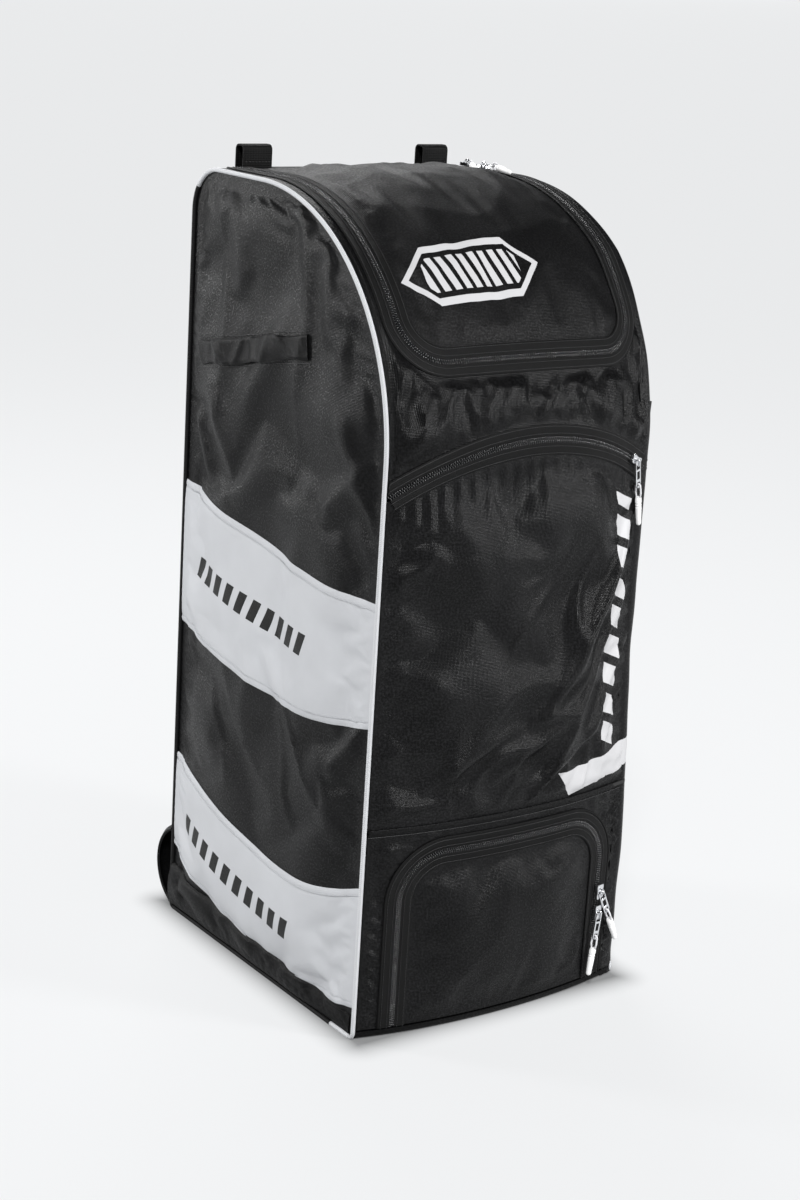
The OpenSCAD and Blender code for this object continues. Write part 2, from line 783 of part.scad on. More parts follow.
// Loop of cord round the tab's rim, with a tapered grip moulded on its ends
module grip_shape() {
  taper = 1.2;
  color("#f0f0f0") {
    rotate([90, 0, 0])
      rotate([0, 0, 90])
        rotate_extrude(angle = 180, $fn = 48)
          translate([loop_r, 0]) circle(cord_r, $fn = 16);
    for (z = [-loop_r, loop_r])
      translate([0, 0, z]) rotate([0, 90, 0]) cylinder(r = cord_r, h = loop_l, $fn = 16);
    translate([loop_l - 2, 0, 0])
      rotate([0, 90, 0]) {
        cylinder(r1 = grip_r, r2 = grip_r - taper, h = grip_l);
        translate([0, 0, grip_l]) sphere(grip_r - taper);
      }
  }
}

module place_tab(f, angle) {
  multmatrix(f) translate([0, 0, pivot_h]) rotate([0, 0, angle]) tab_shape();
}

module place_grip(f, angle, droop) {
  multmatrix(f)
    translate([0, 0, pivot_h])
      rotate([0, 0, angle])
        translate([tab_l - rim / 2, 0, 0])
          rotate([0, droop, 0]) grip_shape();
}

module lid_front_slider() { multmatrix(lid_front_frame) slider_shape(); }
module lid_front_tab() { place_tab(lid_front_frame, lid_front_turn); }
module lid_front_grip() { place_grip(lid_front_frame, lid_front_turn, lying_droop); }
module lid_rear_slider() { multmatrix(lid_rear_frame) slider_shape(); }
module lid_rear_tab() { place_tab(lid_rear_frame, lid_rear_turn); }
module lid_rear_grip() { place_grip(lid_rear_frame, lid_rear_turn, lying_droop); }
module pocket_slider() { multmatrix(pocket_frame) slider_shape(); }
module pocket_tab() { place_tab(pocket_frame, pocket_turn); }
module pocket_grip() { place_grip(pocket_frame, pocket_turn, 0); }
module flap_upper_slider() { multmatrix(flap_upper_frame) slider_shape(); }
module flap_upper_tab() { place_tab(flap_upper_frame, flap_upper_turn); }
module flap_upper_grip() { place_grip(flap_upper_frame, flap_upper_turn, 0); }
module flap_lower_slider() { multmatrix(flap_lower_frame) slider_shape(); }
module flap_lower_tab() { place_tab(flap_lower_frame, flap_lower_turn); }
module flap_lower_grip() { place_grip(flap_lower_frame, flap_lower_turn, 0); }

base_panel();
base_board();
side_panel(-1);  // side_panel_left
side_panel(1);  // side_panel_right
side_band_upper(-1);  // side_band_upper_left
side_band_upper(1);  // side_band_upper_right
side_band_lower(-1);  // side_band_lower_left
side_band_lower(1);  // side_band_lower_right
piping(-1);  // piping_left
piping(1);  // piping_right
lower_front_surround();
pocket_cheek(-1);  // pocket_cheek_left
pocket_cheek(1);  // pocket_cheek_right
pocket_inner_wall();
divider_shelf();
yoke_panel();
lid_side_strip(-1);  // lid_side_strip_left
lid_side_strip(1);  // lid_side_strip_right
rear_top_panel();
back_panel();
back_board();
back_pad();
heel_guard();
hang_loop(-1);  // hang_loop_left
hang_loop(1);  // hang_loop_right
side_handle(-1);  // side_handle_left
side_handle(1);  // side_handle_right
shoulder_strap(-1);  // shoulder_strap_left
shoulder_strap(1);  // shoulder_strap_right
strap_webbing(-1);  // strap_webbing_left
strap_webbing(1);  // strap_webbing_right
strap_buckle(-1);  // strap_buckle_left
strap_buckle(1);  // strap_buckle_right
lid_zip_body_half();
pocket_zip_upper_half();
pocket_zip_ends();
flap_zip_body_half();
lid_panel();
lid_zip_lid_half();
pocket_face();
pocket_zip_face_half();
base_flap();
flap_zip_flap_half();
lid_front_slider();
lid_front_tab();
lid_front_grip();
lid_rear_slider();
lid_rear_tab();
lid_rear_grip();
pocket_slider();
pocket_tab();
pocket_grip();
flap_upper_slider();
flap_upper_tab();
flap_upper_grip();
flap_lower_slider();
flap_lower_tab();
flap_lower_grip();
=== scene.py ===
import json
import math

import bmesh
import bpy
import numpy as np
from mathutils import Matrix, Vector


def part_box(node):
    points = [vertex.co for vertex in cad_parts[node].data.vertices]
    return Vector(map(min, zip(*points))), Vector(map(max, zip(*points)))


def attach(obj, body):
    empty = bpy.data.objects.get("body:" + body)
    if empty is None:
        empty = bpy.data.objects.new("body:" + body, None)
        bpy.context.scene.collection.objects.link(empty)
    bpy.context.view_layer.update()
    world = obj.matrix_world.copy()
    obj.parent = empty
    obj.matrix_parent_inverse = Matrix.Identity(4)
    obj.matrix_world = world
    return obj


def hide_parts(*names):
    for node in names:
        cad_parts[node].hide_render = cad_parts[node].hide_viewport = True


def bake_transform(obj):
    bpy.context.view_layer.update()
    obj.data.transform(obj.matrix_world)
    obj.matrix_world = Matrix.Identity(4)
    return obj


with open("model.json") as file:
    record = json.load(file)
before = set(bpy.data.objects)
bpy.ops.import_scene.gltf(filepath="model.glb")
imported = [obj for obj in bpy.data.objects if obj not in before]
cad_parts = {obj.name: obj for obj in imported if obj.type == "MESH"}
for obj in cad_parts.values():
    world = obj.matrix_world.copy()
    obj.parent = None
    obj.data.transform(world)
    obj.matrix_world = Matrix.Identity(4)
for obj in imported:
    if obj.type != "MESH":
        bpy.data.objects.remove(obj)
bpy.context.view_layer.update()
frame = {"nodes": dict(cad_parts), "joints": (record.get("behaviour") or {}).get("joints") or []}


# Sizes are in metres. Change these to change the bag's looks.

bag = {
    "height": 0.900,
    "straight": 0.640,  # where the front starts to curve back
    "rearRadius": 0.050,
    "baseRadius": 0.008,
    "topBulge": 0.006,
    "archHeight": 0.605,
    "archRise": 0.053,
    "wall": 0.0030,  # fabric and foam as they show
    "zipGap": 0.004,
}
lid = {"half": 0.156, "bottom": 0.740, "corner": 0.050}
flap = {"half": 0.140, "top": 0.212, "corner": 0.055, "bottom": 0.012}
pull = {
    "lidFront": 0.048,
    "lidRear": 0.016,
    "flapUpper": 0.118,
    "flapLower": 0.092,
    "pocketX": 0.150,
    "pivot": 0.0081,
    "tabLength": 0.032,
    "rim": 0.003,
    "turns": {"lid_front": -14, "lid_rear": -30, "pocket": -54, "flap_upper": 27, "flap_lower": -8},
    "droop": 5,
}

pipingLow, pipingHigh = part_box("piping_right")
halfWidth = pipingHigh.x - 0.003
frontY = pipingLow.y + 0.0015
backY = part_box("back_panel")[1].y
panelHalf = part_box("yoke_panel")[1].x
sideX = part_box("side_panel_right")[1].x
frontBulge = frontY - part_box("lower_front_surround")[0].y
seamZ = (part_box("divider_shelf")[0].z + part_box("divider_shelf")[1].z) / 2
joints = {j["name"]: j for j in frame["joints"]}
hingeY = joints["lid_hinge"]["pos_m"][1]
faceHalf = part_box("pocket_face")[1].x

topRadius = bag["height"] - bag["straight"]
arcLength = topRadius * math.pi / 2
arcEnd = bag["straight"] + arcLength
hingeS = arcEnd + hingeY - (frontY + topRadius)
crownRise = math.hypot(frontBulge, bag["archRise"])
crownRadius = (halfWidth**2 + crownRise**2) / (2 * crownRise)


def smooth(t):
    t = np.clip(t, 0, 1)
    return t * t * (3 - 2 * t)


def crown(x):
    x = np.clip(x, -halfWidth, halfWidth)
    return (np.sqrt(crownRadius**2 - x**2) - (crownRadius - crownRise)) / crownRise


def bulge(s):
    onArc = frontBulge + (bag["topBulge"] - frontBulge) * (s - bag["straight"]) / arcLength
    onTop = bag["topBulge"] * np.maximum(0, 1 - (s - arcEnd) / (hingeS - arcEnd))
    return np.where(s < bag["straight"], frontBulge, np.where(s < arcEnd, onArc, onTop))


def onFront(x, s, out=0.0):  # a place on the front and top, s metres up from the base
    x, s, out = np.broadcast_arrays(np.asarray(x, float), np.asarray(s, float), np.asarray(out, float))
    angle = np.clip((s - bag["straight"]) / topRadius, 0, math.pi / 2)
    past = np.maximum(0, s - arcEnd)
    low = np.minimum(s, bag["straight"])
    push = bulge(s) * crown(x) + out
    y = frontY + topRadius * (1 - np.cos(angle)) + past - np.cos(angle) * push
    z = low + topRadius * np.sin(angle) + np.sin(angle) * push
    return np.stack([x, y, z], axis=-1)


def frontNormal(x, s):
    step = 0.001
    across = onFront(x + step, s) - onFront(x - step, s)
    along = onFront(x, s + step) - onFront(x, s - step)
    normal = np.cross(across, along)
    return normal / np.linalg.norm(normal, axis=-1, keepdims=True)


def arch(x):
    return bag["archHeight"] + bag["archRise"] * crown(x)


def sideFront(z):  # the front edge of the side, at height z
    z = np.asarray(z, float)
    rise = np.clip(z - bag["straight"], 0, topRadius)
    return frontY + topRadius - np.sqrt(topRadius**2 - rise**2)


def sideBack(z):
    z = np.asarray(z, float)
    rise = np.clip(z - (bag["height"] - bag["rearRadius"]), 0, bag["rearRadius"])
    return backY - bag["rearRadius"] + np.sqrt(bag["rearRadius"] ** 2 - rise**2)


slump = {"inward": 0.006, "back": 0.009, "from": 0.15, "over": 0.30}


def sagged(points):  # the right front edge of the filled bag has sunk in a little
    x, y, z = np.asarray(points).T
    front = smooth((-0.06 - y) / 0.14)
    top = smooth((z - 0.80) / 0.10)
    share = smooth((x - 0.06) / 0.125) * smooth((z - slump["from"]) / slump["over"])
    moved = np.array(points, float)
    moved[:, 0] -= slump["inward"] * share * np.maximum(front, top)
    moved[:, 1] += slump["back"] * share * front * (1 - top)
    return moved


def waves(a, b, seed, count=9, low=8.0, high=40.0):  # a repeatable soft unevenness, about -1 to 1
    rng = np.random.default_rng(seed)
    total = np.zeros(np.broadcast(a, b).shape)
    for _ in range(count):
        turn = rng.uniform(0, 2 * math.pi)
        rate = rng.uniform(low, high)
        total = total + np.sin(rate * (a * math.cos(turn) + b * math.sin(turn)) * 2 * math.pi + rng.uniform(0, 6.3))
    return total / math.sqrt(count)


def creases(a, b, seed, turn, rate, stretch=3.0):  # soft-edged sharp-topped ridges, 0 to 1, running one way
    lean = math.radians(turn)
    along = a * math.cos(lean) + b * math.sin(lean)
    across = b * math.cos(lean) - a * math.sin(lean)
    across = across + 0.012 * waves(a, b, seed + 1, low=3, high=9)
    value = waves(along / stretch, across, seed, count=7, low=rate * 0.5, high=rate * 1.3)
    return np.clip(1 - np.abs(value) * 1.1, 0, 1) ** 1.6


def fold(a, b, start, end, width, height):  # one ridge between two places, tapering at both ends
    ax, ay = start
    dx, dy = end[0] - ax, end[1] - ay
    length = math.hypot(dx, dy)
    along = ((a - ax) * dx + (b - ay) * dy) / length**2
    across = ((a - ax) * dy - (b - ay) * dx) / length
    taper = smooth(np.clip(along, 0, 1) * 4) * smooth((1 - np.clip(along, 0, 1)) * 4)
    return height * taper * np.exp(-((across / width) ** 2)) * (along > 0) * (along < 1)


def foldsOf(a, b, rows):  # each row is start, end, width and height
    return sum(fold(a, b, *row) for row in rows)


def makeMesh(name, points, faces, uvs=None):
    mesh = bpy.data.meshes.new(name)
    mesh.from_pydata([tuple(p) for p in points], [], [tuple(f) for f in faces])
    if uvs is not None:
        layer = mesh.uv_layers.new(name="cloth")
        loops = np.zeros(len(mesh.loops), int)
        mesh.loops.foreach_get("vertex_index", loops)
        layer.data.foreach_set("uv", np.asarray(uvs, np.float32)[loops].ravel())
    mesh.polygons.foreach_set("use_smooth", [True] * len(mesh.polygons))
    mesh.update()
    piece = bpy.data.objects.new(name, mesh)
    bpy.context.scene.collection.objects.link(piece)
    return piece


def gridFaces(rows, cols, flip=False, around=False):
    index = np.arange(rows * cols).reshape(rows, cols)
    if around:
        index = np.concatenate([index, index[:, :1]], axis=1)
    a, b, c, d = index[:-1, :-1], index[:-1, 1:], index[1:, 1:], index[1:, :-1]
    quads = np.stack([a, b, c, d] if not flip else [a, d, c, b], axis=-1)
    return quads.reshape(-1, 4).tolist()


def gridPiece(name, points, uvs, flip=False):
    rows, cols = points.shape[:2]
    return makeMesh(name, points.reshape(-1, 3), gridFaces(rows, cols, flip), uvs.reshape(-1, 2))


def only(piece):
    bpy.ops.object.select_all(action="DESELECT")
    piece.select_set(True)
    bpy.context.view_layer.objects.active = piece


def modify(piece, kind, **settings):
    only(piece)
    bpy.ops.object.modifier_add(type=kind)
    modifier = piece.modifiers[-1]
    for key, value in settings.items():
        setattr(modifier, key, value)
    bpy.ops.object.modifier_apply(modifier=modifier.name)
    return piece


def thicken(piece, thickness=bag["wall"]):
    modify(piece, "SOLIDIFY", thickness=thickness, offset=-1.0, use_even_offset=False)
    return shadeSmooth(piece)


def shadeSmooth(piece, angle=50):
    only(piece)
    bpy.ops.object.shade_smooth_by_angle(angle=math.radians(angle))
    return piece


def coordinates(piece):
    flat = np.zeros(len(piece.data.vertices) * 3)
    piece.data.vertices.foreach_get("co", flat)
    return flat.reshape(-1, 3)


def setCoordinates(piece, points):
    piece.data.vertices.foreach_set("co", np.asarray(points, np.float32).ravel())
    piece.data.update()


def clothSettle(piece, hold, slack, pressure, bending, cap):
    # hold is 1 where the cloth is sewn down and 0 where it is free; cap is the furthest it may move
    stiffness, frames = 12, 16
    before = coordinates(piece)
    group = piece.vertex_groups.new(name="hold")
    for level in np.unique(np.round(hold, 1)):
        members = np.nonzero(np.round(hold, 1) == level)[0]
        if level > 0:
            group.add([int(i) for i in members], float(level), "REPLACE")
    only(piece)
    bpy.ops.object.modifier_add(type="CLOTH")
    cloth = piece.modifiers[-1]
    settings = cloth.settings
    settings.quality = 6
    settings.mass = 0.25
    settings.air_damping = 4
    settings.tension_stiffness = stiffness
    settings.compression_stiffness = stiffness
    settings.shear_stiffness = stiffness * 0.5
    settings.bending_stiffness = bending
    settings.shrink_min = -slack
    settings.shrink_max = -slack
    settings.use_pressure = True
    settings.uniform_pressure_force = pressure
    settings.pin_stiffness = 1.0
    settings.vertex_group_mass = "hold"
    settings.effector_weights.gravity = 0.0
    cloth.collision_settings.use_collision = False
    cloth.point_cache.frame_start = 1
    cloth.point_cache.frame_end = frames
    for number in range(1, frames + 1):
        bpy.context.scene.frame_set(number)
    bpy.ops.object.modifier_apply(modifier=cloth.name)
    bpy.context.scene.frame_set(1)
    move = coordinates(piece) - before
    length = np.linalg.norm(move, axis=1, keepdims=True)
    limited = cap * np.tanh(length / cap)
    setCoordinates(piece, before + move * (limited / np.maximum(length, 1e-9)))
    piece.vertex_groups.clear()
    return piece


def sampler(points):  # position anywhere on a settled grid
    rows, cols = points.shape[:2]

    def at(u, v):
        u = np.clip(u, 0, cols - 1.0001)
        v = np.clip(v, 0, rows - 1.0001)
        i, j = v.astype(int), u.astype(int)
        fv, fu = (v - i)[..., None], (u - j)[..., None]
        low = points[i, j] * (1 - fu) + points[i, j + 1] * fu
        high = points[i + 1, j] * (1 - fu) + points[i + 1, j + 1] * fu
        return low * (1 - fv) + high * fv

    return at


def sweep(name, centres, sides, ups, profile):
    # profile points are (across, up); sides and ups are unit directions at each centre
    rings = centres[:, None] + sides[:, None] * profile[None, :, :1] + ups[:, None] * profile[None, :, 1:]
    count, n = rings.shape[:2]
    points = rings.reshape(-1, 3)
    faces = gridFaces(count, n, flip=True, around=True)
    faces += [tuple(range(n)), tuple(range(count * n - 1, (count - 1) * n - 1, -1))]
    uvs = np.stack(np.meshgrid(runLength(profile), runLength(centres)), axis=-1).reshape(-1, 2)
    return recalculate(makeMesh(name, points, faces, uvs))


def roundBar(width, height, corner, steps=4):  # outline of a flat strip with round edges
    points = []
    corners = [(1, 1, 0), (-1, 1, 90), (-1, -1, 180), (1, -1, 270)]
    for sx, sy, start in corners:
        for k in range(steps + 1):
            a = math.radians(start + 90 * k / steps)
            points.append(
                (
                    sx * (width / 2 - corner) + corner * math.cos(a),
                    sy * (height / 2 - corner) + corner * math.sin(a),
                )
            )
    return np.array(points)


def beads(name, centres, alongs, ups, length, width, height):
    # many small rounded blocks in one mesh, such as stitches and teeth
    shape = np.array(
        [
            (-0.5, -0.3, 0), (0.5, -0.3, 0), (0.5, 0.3, 0), (-0.5, 0.3, 0),
            (-0.42, -0.5, 0.45), (0.42, -0.5, 0.45), (0.42, 0.5, 0.45), (-0.42, 0.5, 0.45),
            (-0.3, -0.22, 1), (0.3, -0.22, 1), (0.3, 0.22, 1), (-0.3, 0.22, 1),
        ]
    )
    faces = [(3, 2, 1, 0), (8, 9, 10, 11)]
    for base in (0, 4):
        for k in range(4):
            faces.append((base + k, base + (k + 1) % 4, base + 4 + (k + 1) % 4, base + 4 + k))
    across = np.cross(ups, alongs)
    local = shape * np.array([length, width, height])
    points = (
        centres[:, None]
        + alongs[:, None] * local[None, :, :1]
        + across[:, None] * local[None, :, 1:2]
        + ups[:, None] * local[None, :, 2:]
    )
    allFaces = [tuple(12 * i + k for k in f) for i in range(len(centres)) for f in faces]
    return makeMesh(name, points.reshape(-1, 3), allFaces)


def unitRows(v):
    return v / np.maximum(np.linalg.norm(v, axis=-1, keepdims=True), 1e-12)


def tangents(line):
    return unitRows(np.gradient(line, axis=0))


def alike(direction, count):  # one direction, repeated for each place on a line
    return np.tile(np.array([direction], float), (count, 1))


def runLength(points):  # distance walked to each point
    return np.concatenate([[0], np.cumsum(np.linalg.norm(np.diff(points, axis=0), axis=1))])


def disc(radius, count):
    turn = np.linspace(0, 2 * math.pi, count, endpoint=False)
    return radius * np.stack([np.cos(turn), np.sin(turn)], axis=1)


def recalculate(piece):
    mesh = bmesh.new()
    mesh.from_mesh(piece.data)
    bmesh.ops.recalc_face_normals(mesh, faces=mesh.faces)
    mesh.to_mesh(piece.data)
    mesh.free()
    return piece


def faceOut(piece, points, x, s):  # turn the faces so that the first one looks away from the bag
    normal = np.cross(points[0, 1] - points[0, 0], points[1, 0] - points[0, 0])
    if normal @ frontNormal(x, s) < 0:
        piece.data.flip_normals()


def evenly(path, pitch):  # places at an even spacing along a line of points
    length = runLength(path)
    count = max(2, int(length[-1] / pitch))
    marks = np.linspace(0, length[-1], count + 1)
    return np.stack([np.interp(marks, length, path[:, k]) for k in range(path.shape[1])], axis=1)


def dress(piece, material, body=None, replaces=()):
    piece.data.materials.clear()
    piece.data.materials.append(material)
    setCoordinates(piece, sagged(coordinates(piece)))
    if body:
        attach(piece, body)
    if replaces:
        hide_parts(*replaces)
    return piece


class Value:
    def __init__(self, maker, socket):
        self.maker = maker
        self.socket = socket

    def op(self, name, *others):
        inputs = {0: self}
        for k, other in enumerate(others):
            inputs[k + 1] = other
        return self.maker.node("ShaderNodeMath", {"operation": name}, inputs)

    def __add__(self, other):
        return self.op("ADD", other)

    def __radd__(self, other):
        return self.op("ADD", other)

    def __sub__(self, other):
        return self.op("SUBTRACT", other)

    def __rsub__(self, other):
        return self.maker.node("ShaderNodeMath", {"operation": "SUBTRACT"}, {0: other, 1: self})

    def __mul__(self, other):
        return self.op("MULTIPLY", other)

    def __rmul__(self, other):
        return self.op("MULTIPLY", other)

    def __truediv__(self, other):
        return self.op("DIVIDE", other)

    def __lt__(self, other):
        return self.op("LESS_THAN", other)

    def __gt__(self, other):
        return self.op("GREATER_THAN", other)


class Finish:
    def __init__(self, name, colour, roughness, **constants):
        self.material = bpy.data.materials.new(name)
        self.material.use_nodes = True
        self.tree = self.material.node_tree
        self.shader = next(n for n in self.tree.nodes if n.type == "BSDF_PRINCIPLED")
        self.material.diffuse_color = (*colour, 1)
        self.put("Base Color", (*colour, 1))
        self.put("Roughness", roughness)
        for key, value in constants.items():
            self.put(key.replace("_", " "), value)

    def node(self, kind, settings=None, inputs=None, output=0):
        node = self.tree.nodes.new(kind)
        for key, value in (settings or {}).items():
            setattr(node, key, value)
        for key, value in (inputs or {}).items():
            if isinstance(value, Value):
                self.tree.links.new(value.socket, node.inputs[key])
            else:
                node.inputs[key].default_value = value
        return Value(self, node.outputs[output])

    def put(self, socket, value):
        if isinstance(value, Value):
            self.tree.links.new(value.socket, self.shader.inputs[socket])
        else:
            self.shader.inputs[socket].default_value = value

    def place(self):  # the cloth's own flat coordinates, in metres
        return self.node("ShaderNodeUVMap", {"uv_map": "cloth"})

    def objectPlace(self):
        return self.node("ShaderNodeTexCoord", output=3)

    def split(self, vector):
        return [self.node("ShaderNodeSeparateXYZ", {}, {0: vector}, k) for k in range(3)]

    def noise(self, vector, scale, detail=2.0, rough=0.5):
        return self.node(
            "ShaderNodeTexNoise", {}, {"Vector": vector, "Scale": scale, "Detail": detail, "Roughness": rough}
        )

    def mixColour(self, factor, a, b):
        return self.node("ShaderNodeMix", {"data_type": "RGBA"}, {0: factor, 6: a, 7: b}, 2)

    def scaled(self, colour, amount):
        return self.node("ShaderNodeVectorMath", {"operation": "SCALE"}, {0: colour, "Scale": amount})

    def bump(self, height, distance):
        normal = self.node("ShaderNodeBump", {}, {"Height": height, "Distance": distance, "Strength": 1.0})
        self.put("Normal", normal)


def rgb(level, blue=1.0):
    return (level, level, level * blue)


def between(value, low, high):
    return (value > low) * (value < high)


def weave(u, v, pitch):  # small diamonds, 0 to 1
    turn = 2 * math.pi / pitch
    a = ((u + v) * turn).op("SINE")
    b = ((u - v) * turn).op("SINE")
    return a * b * 0.5 + 0.5


def clothFinish(name, level, roughness, pitch=0.0030, depth=0.0002, specular=0.13, marks=None):
    markLevel = 0.5
    finish = Finish(name, rgb(level), roughness, Specular_IOR_Level=specular)
    place = finish.place()
    u, v, _ = finish.split(place)
    threads = weave(u, v, pitch)
    cloud = finish.noise(place, 14.0, 4.0)
    glintNoise = finish.noise(place, 420.0, 1.0)
    glint = ((glintNoise - 0.42) * 4.0).op("MAXIMUM", 0.0).op("MINIMUM", 1.0)
    # the base colour rises on the weave's diamonds, partly the weave's own pattern and partly painted glints, and
    # rises sharply at the glint spots, which are painted glints besides their real roughness and bump; cloud is tone
    # that varies at random
    shade = (0.3 + 1.2 * cloud) * (0.15 + 0.9 * threads * threads + 1.6 * glint)
    dark = finish.scaled(rgb(level, 1.06), shade)
    gloss = roughness + 0.2 * (cloud - 0.5) - 0.16 * glint
    height = threads + 0.25 * glint
    if marks:
        mask = marks(u, v)
        bright = finish.scaled(rgb(markLevel, 1.02), 0.94 + 0.1 * cloud)
        dark = finish.mixColour(mask, dark, bright)
        gloss = gloss * (1 - mask) + 0.36 * mask
        height = height * (1 - 0.85 * mask) + 0.5 * mask
    finish.put("Base Color", dark)
    finish.put("Roughness", gloss)
    finish.bump(height, depth)
    return finish.material


def lidMarks(u, v):  # a long six-sided ring with slats in it
    mark = {"x": -0.050, "s": 0.832, "half": 0.052, "height": 0.034, "slat": 0.0135}
    across = u - mark["x"]
    x = across.op("ABSOLUTE")
    y = (v - mark["s"] - across * 0.05).op("ABSOLUTE")
    shape = y / mark["height"] + (x - mark["half"]).op("MAXIMUM", 0.0) / mark["height"]
    ring = between(shape, 0.76, 1.0)
    step = (across / mark["slat"] + v / 0.05 + 20.0).op("FRACT")
    slats = (step < 0.6) * (shape < 0.58) * (x < mark["half"] + 0.008)
    return (ring + slats).op("MINIMUM", 1.0)


def pocketMarks(u, v):  # a flash at the foot and a column of slanting blocks above it
    flash = {"left": 0.057, "lean": 0.72, "low": 0.246, "high": 0.279, "rise": 0.17}
    rise = ((u - 0.08).op("MAXIMUM", 0.0)) * flash["rise"]
    edge = u - flash["left"] - (flash["high"] - v) * flash["lean"]
    inFlash = between(v - rise, flash["low"] + 0.002, flash["high"]) * (edge > 0.0)
    column = {"left": 0.123, "right": 0.149, "low": 0.306, "high": 0.592, "pitch": 0.034}
    slant = v + (u - column["left"]) * 0.45
    step = ((slant - column["low"]) / column["pitch"]).op("FRACT")
    blocks = between(u, column["left"], column["right"]) * between(slant, column["low"], column["high"])
    return (inFlash + blocks * (step < 0.68)).op("MINIMUM", 1.0)


def bandMarks(u, v):  # a row of slanting bars along the band's middle
    row = {"start": -0.088, "end": 0.162, "half": 0.0125, "pitch": 0.025}
    lean = u + v * 0.35
    step = ((lean - row["start"]) / row["pitch"]).op("FRACT")
    whole = between(lean, row["start"], row["end"]) * (v.op("ABSOLUTE") < row["half"])
    return whole * (step < 0.56)


def bandFinish():
    finish = Finish("SilverBand", rgb(0.5, 1.02), 0.42, Specular_IOR_Level=0.2)
    place = finish.place()
    u, v, _ = finish.split(place)
    cloud = finish.noise(place, 18.0, 4.0)
    threads = weave(u, v, 0.0012)
    mask = bandMarks(u, v)
    light = finish.scaled((0.50, 0.51, 0.53), 0.9 + 0.2 * cloud)
    finish.put("Base Color", finish.mixColour(mask, light, (0.003, 0.003, 0.003, 1)))
    finish.put("Roughness", 0.40 + 0.14 * cloud)
    finish.bump(threads * 0.5 + cloud, 0.00035)
    return finish.material


def ribFinish(name, level, roughness, pitch, depth, acrossPitch=0.0):  # webbing, tape and piping
    finish = Finish(name, rgb(level), roughness, Specular_IOR_Level=0.15)
    place = finish.place()
    u, v, _ = finish.split(place)
    ribs = (v * (2 * math.pi / pitch)).op("SINE") * 0.5 + 0.5
    height = ribs
    if acrossPitch:
        height = height * 0.6 + 0.4 * ((u * (2 * math.pi / acrossPitch)).op("SINE") * 0.5 + 0.5)
    cloud = finish.noise(place, 60.0, 3.0)
    shade = (0.75 + 0.35 * height) * (0.85 + 0.3 * cloud)
    finish.put("Base Color", finish.scaled(rgb(level, 1.03), shade))
    finish.put("Roughness", roughness + 0.15 * (cloud - 0.5))
    finish.bump(height, depth)
    return finish.material


def pipingFinish():  # diagonal wraps round a bead
    finish = Finish("PipingWeave", rgb(0.62), 0.6)
    place = finish.place()
    u, v, _ = finish.split(place)
    wraps = ((v + u * 0.7) * (2 * math.pi / 0.0024)).op("SINE") * 0.5 + 0.5
    cloud = finish.noise(place, 40.0, 3.0)
    shade = (0.8 + 0.22 * wraps) * (0.92 + 0.12 * cloud)
    finish.put("Base Color", finish.scaled((0.62, 0.63, 0.65), shade))
    finish.put("Roughness", 0.5 + 0.2 * cloud)
    finish.bump(wraps, 0.0004)
    return finish.material


def plasticFinish(name, colour, roughness, metallic=0.0, grain=0.00005, scale=700.0, coat=0.0):
    finish = Finish(name, colour, roughness, Metallic=metallic, Coat_Weight=coat)
    place = finish.objectPlace()
    speckle = finish.noise(place, scale, 2.0)
    wear = finish.noise(place, 70.0, 3.0)
    finish.put("Roughness", roughness + 0.18 * (wear - 0.5))
    finish.put("Base Color", finish.scaled(colour, 0.9 + 0.2 * wear))
    finish.bump(speckle, grain)
    return finish.material


def liningFinish(name, level, roughness):
    finish = Finish(name, rgb(level), roughness, Specular_IOR_Level=0.3)
    place = finish.objectPlace()
    x, y, z = finish.split(place)
    turn = 2 * math.pi / 0.0016
    threads = (((x + z) * turn).op("SINE") * ((y + z) * turn).op("SINE")) * 0.5 + 0.5
    cloud = finish.noise(place, 20.0, 3.0)
    finish.put("Base Color", finish.scaled(rgb(level), 0.7 + 0.6 * cloud))
    finish.put("Roughness", roughness + 0.1 * cloud)
    finish.bump(threads, 0.0002)
    return finish.material


finishes = {
    "shell": clothFinish("BlackWeave", 0.0050, 0.40),
    "lid": clothFinish("LidWeave", 0.0050, 0.52, marks=lidMarks),
    "pocket": clothFinish("PocketWeave", 0.0060, 0.38, marks=pocketMarks),
    "smooth": clothFinish("SmoothWeave", 0.005, 0.6, pitch=0.0018, depth=0.00015, specular=0.12),
    "gathered": clothFinish("GatheredStrip", 0.004, 0.45, pitch=0.0014, depth=0.0001, specular=0.10),
    "mesh": clothFinish("SpacerMesh", 0.009, 0.8, pitch=0.0045, depth=0.0009, specular=0.2),
    "heel": clothFinish("HeelCloth", 0.0025, 0.5, pitch=0.002, depth=0.00015, specular=0.12),
    "band": bandFinish(),
    "piping": pipingFinish(),
    "tape": ribFinish("ZipTape", 0.0025, 0.6, 0.0011, 0.0002),
    "darkPiping": ribFinish("DarkPiping", 0.008, 0.6, 0.0024, 0.0003),
    "webbing": ribFinish("Webbing", 0.004, 0.6, 0.0019, 0.0004, 0.0034),
    "binding": ribFinish("Binding", 0.0035, 0.65, 0.0016, 0.0002),
    "coil": plasticFinish("ZipCoil", (0.012, 0.012, 0.013), 0.26, coat=0.25),
    "thread": plasticFinish("BlackThread", (0.012, 0.012, 0.013), 0.5),
    "greyThread": plasticFinish("GreyThread", (0.46, 0.47, 0.49), 0.6),
    "metal": plasticFinish("BrightNickel", (0.74, 0.75, 0.77), 0.2, metallic=1.0, grain=0.00002),
    "grip": plasticFinish("WhiteGrip", (0.82, 0.82, 0.82), 0.45, grain=0.00008),
    "cord": ribFinish("WhiteCord", 0.78, 0.7, 0.0009, 0.0002),
    "plastic": plasticFinish("BlackPlastic", (0.014, 0.014, 0.015), 0.4, grain=0.00006),
    "board": plasticFinish("StiffBoard", (0.03, 0.03, 0.033), 0.5),
    "lining": liningFinish("Lining", 0.022, 0.7),
}
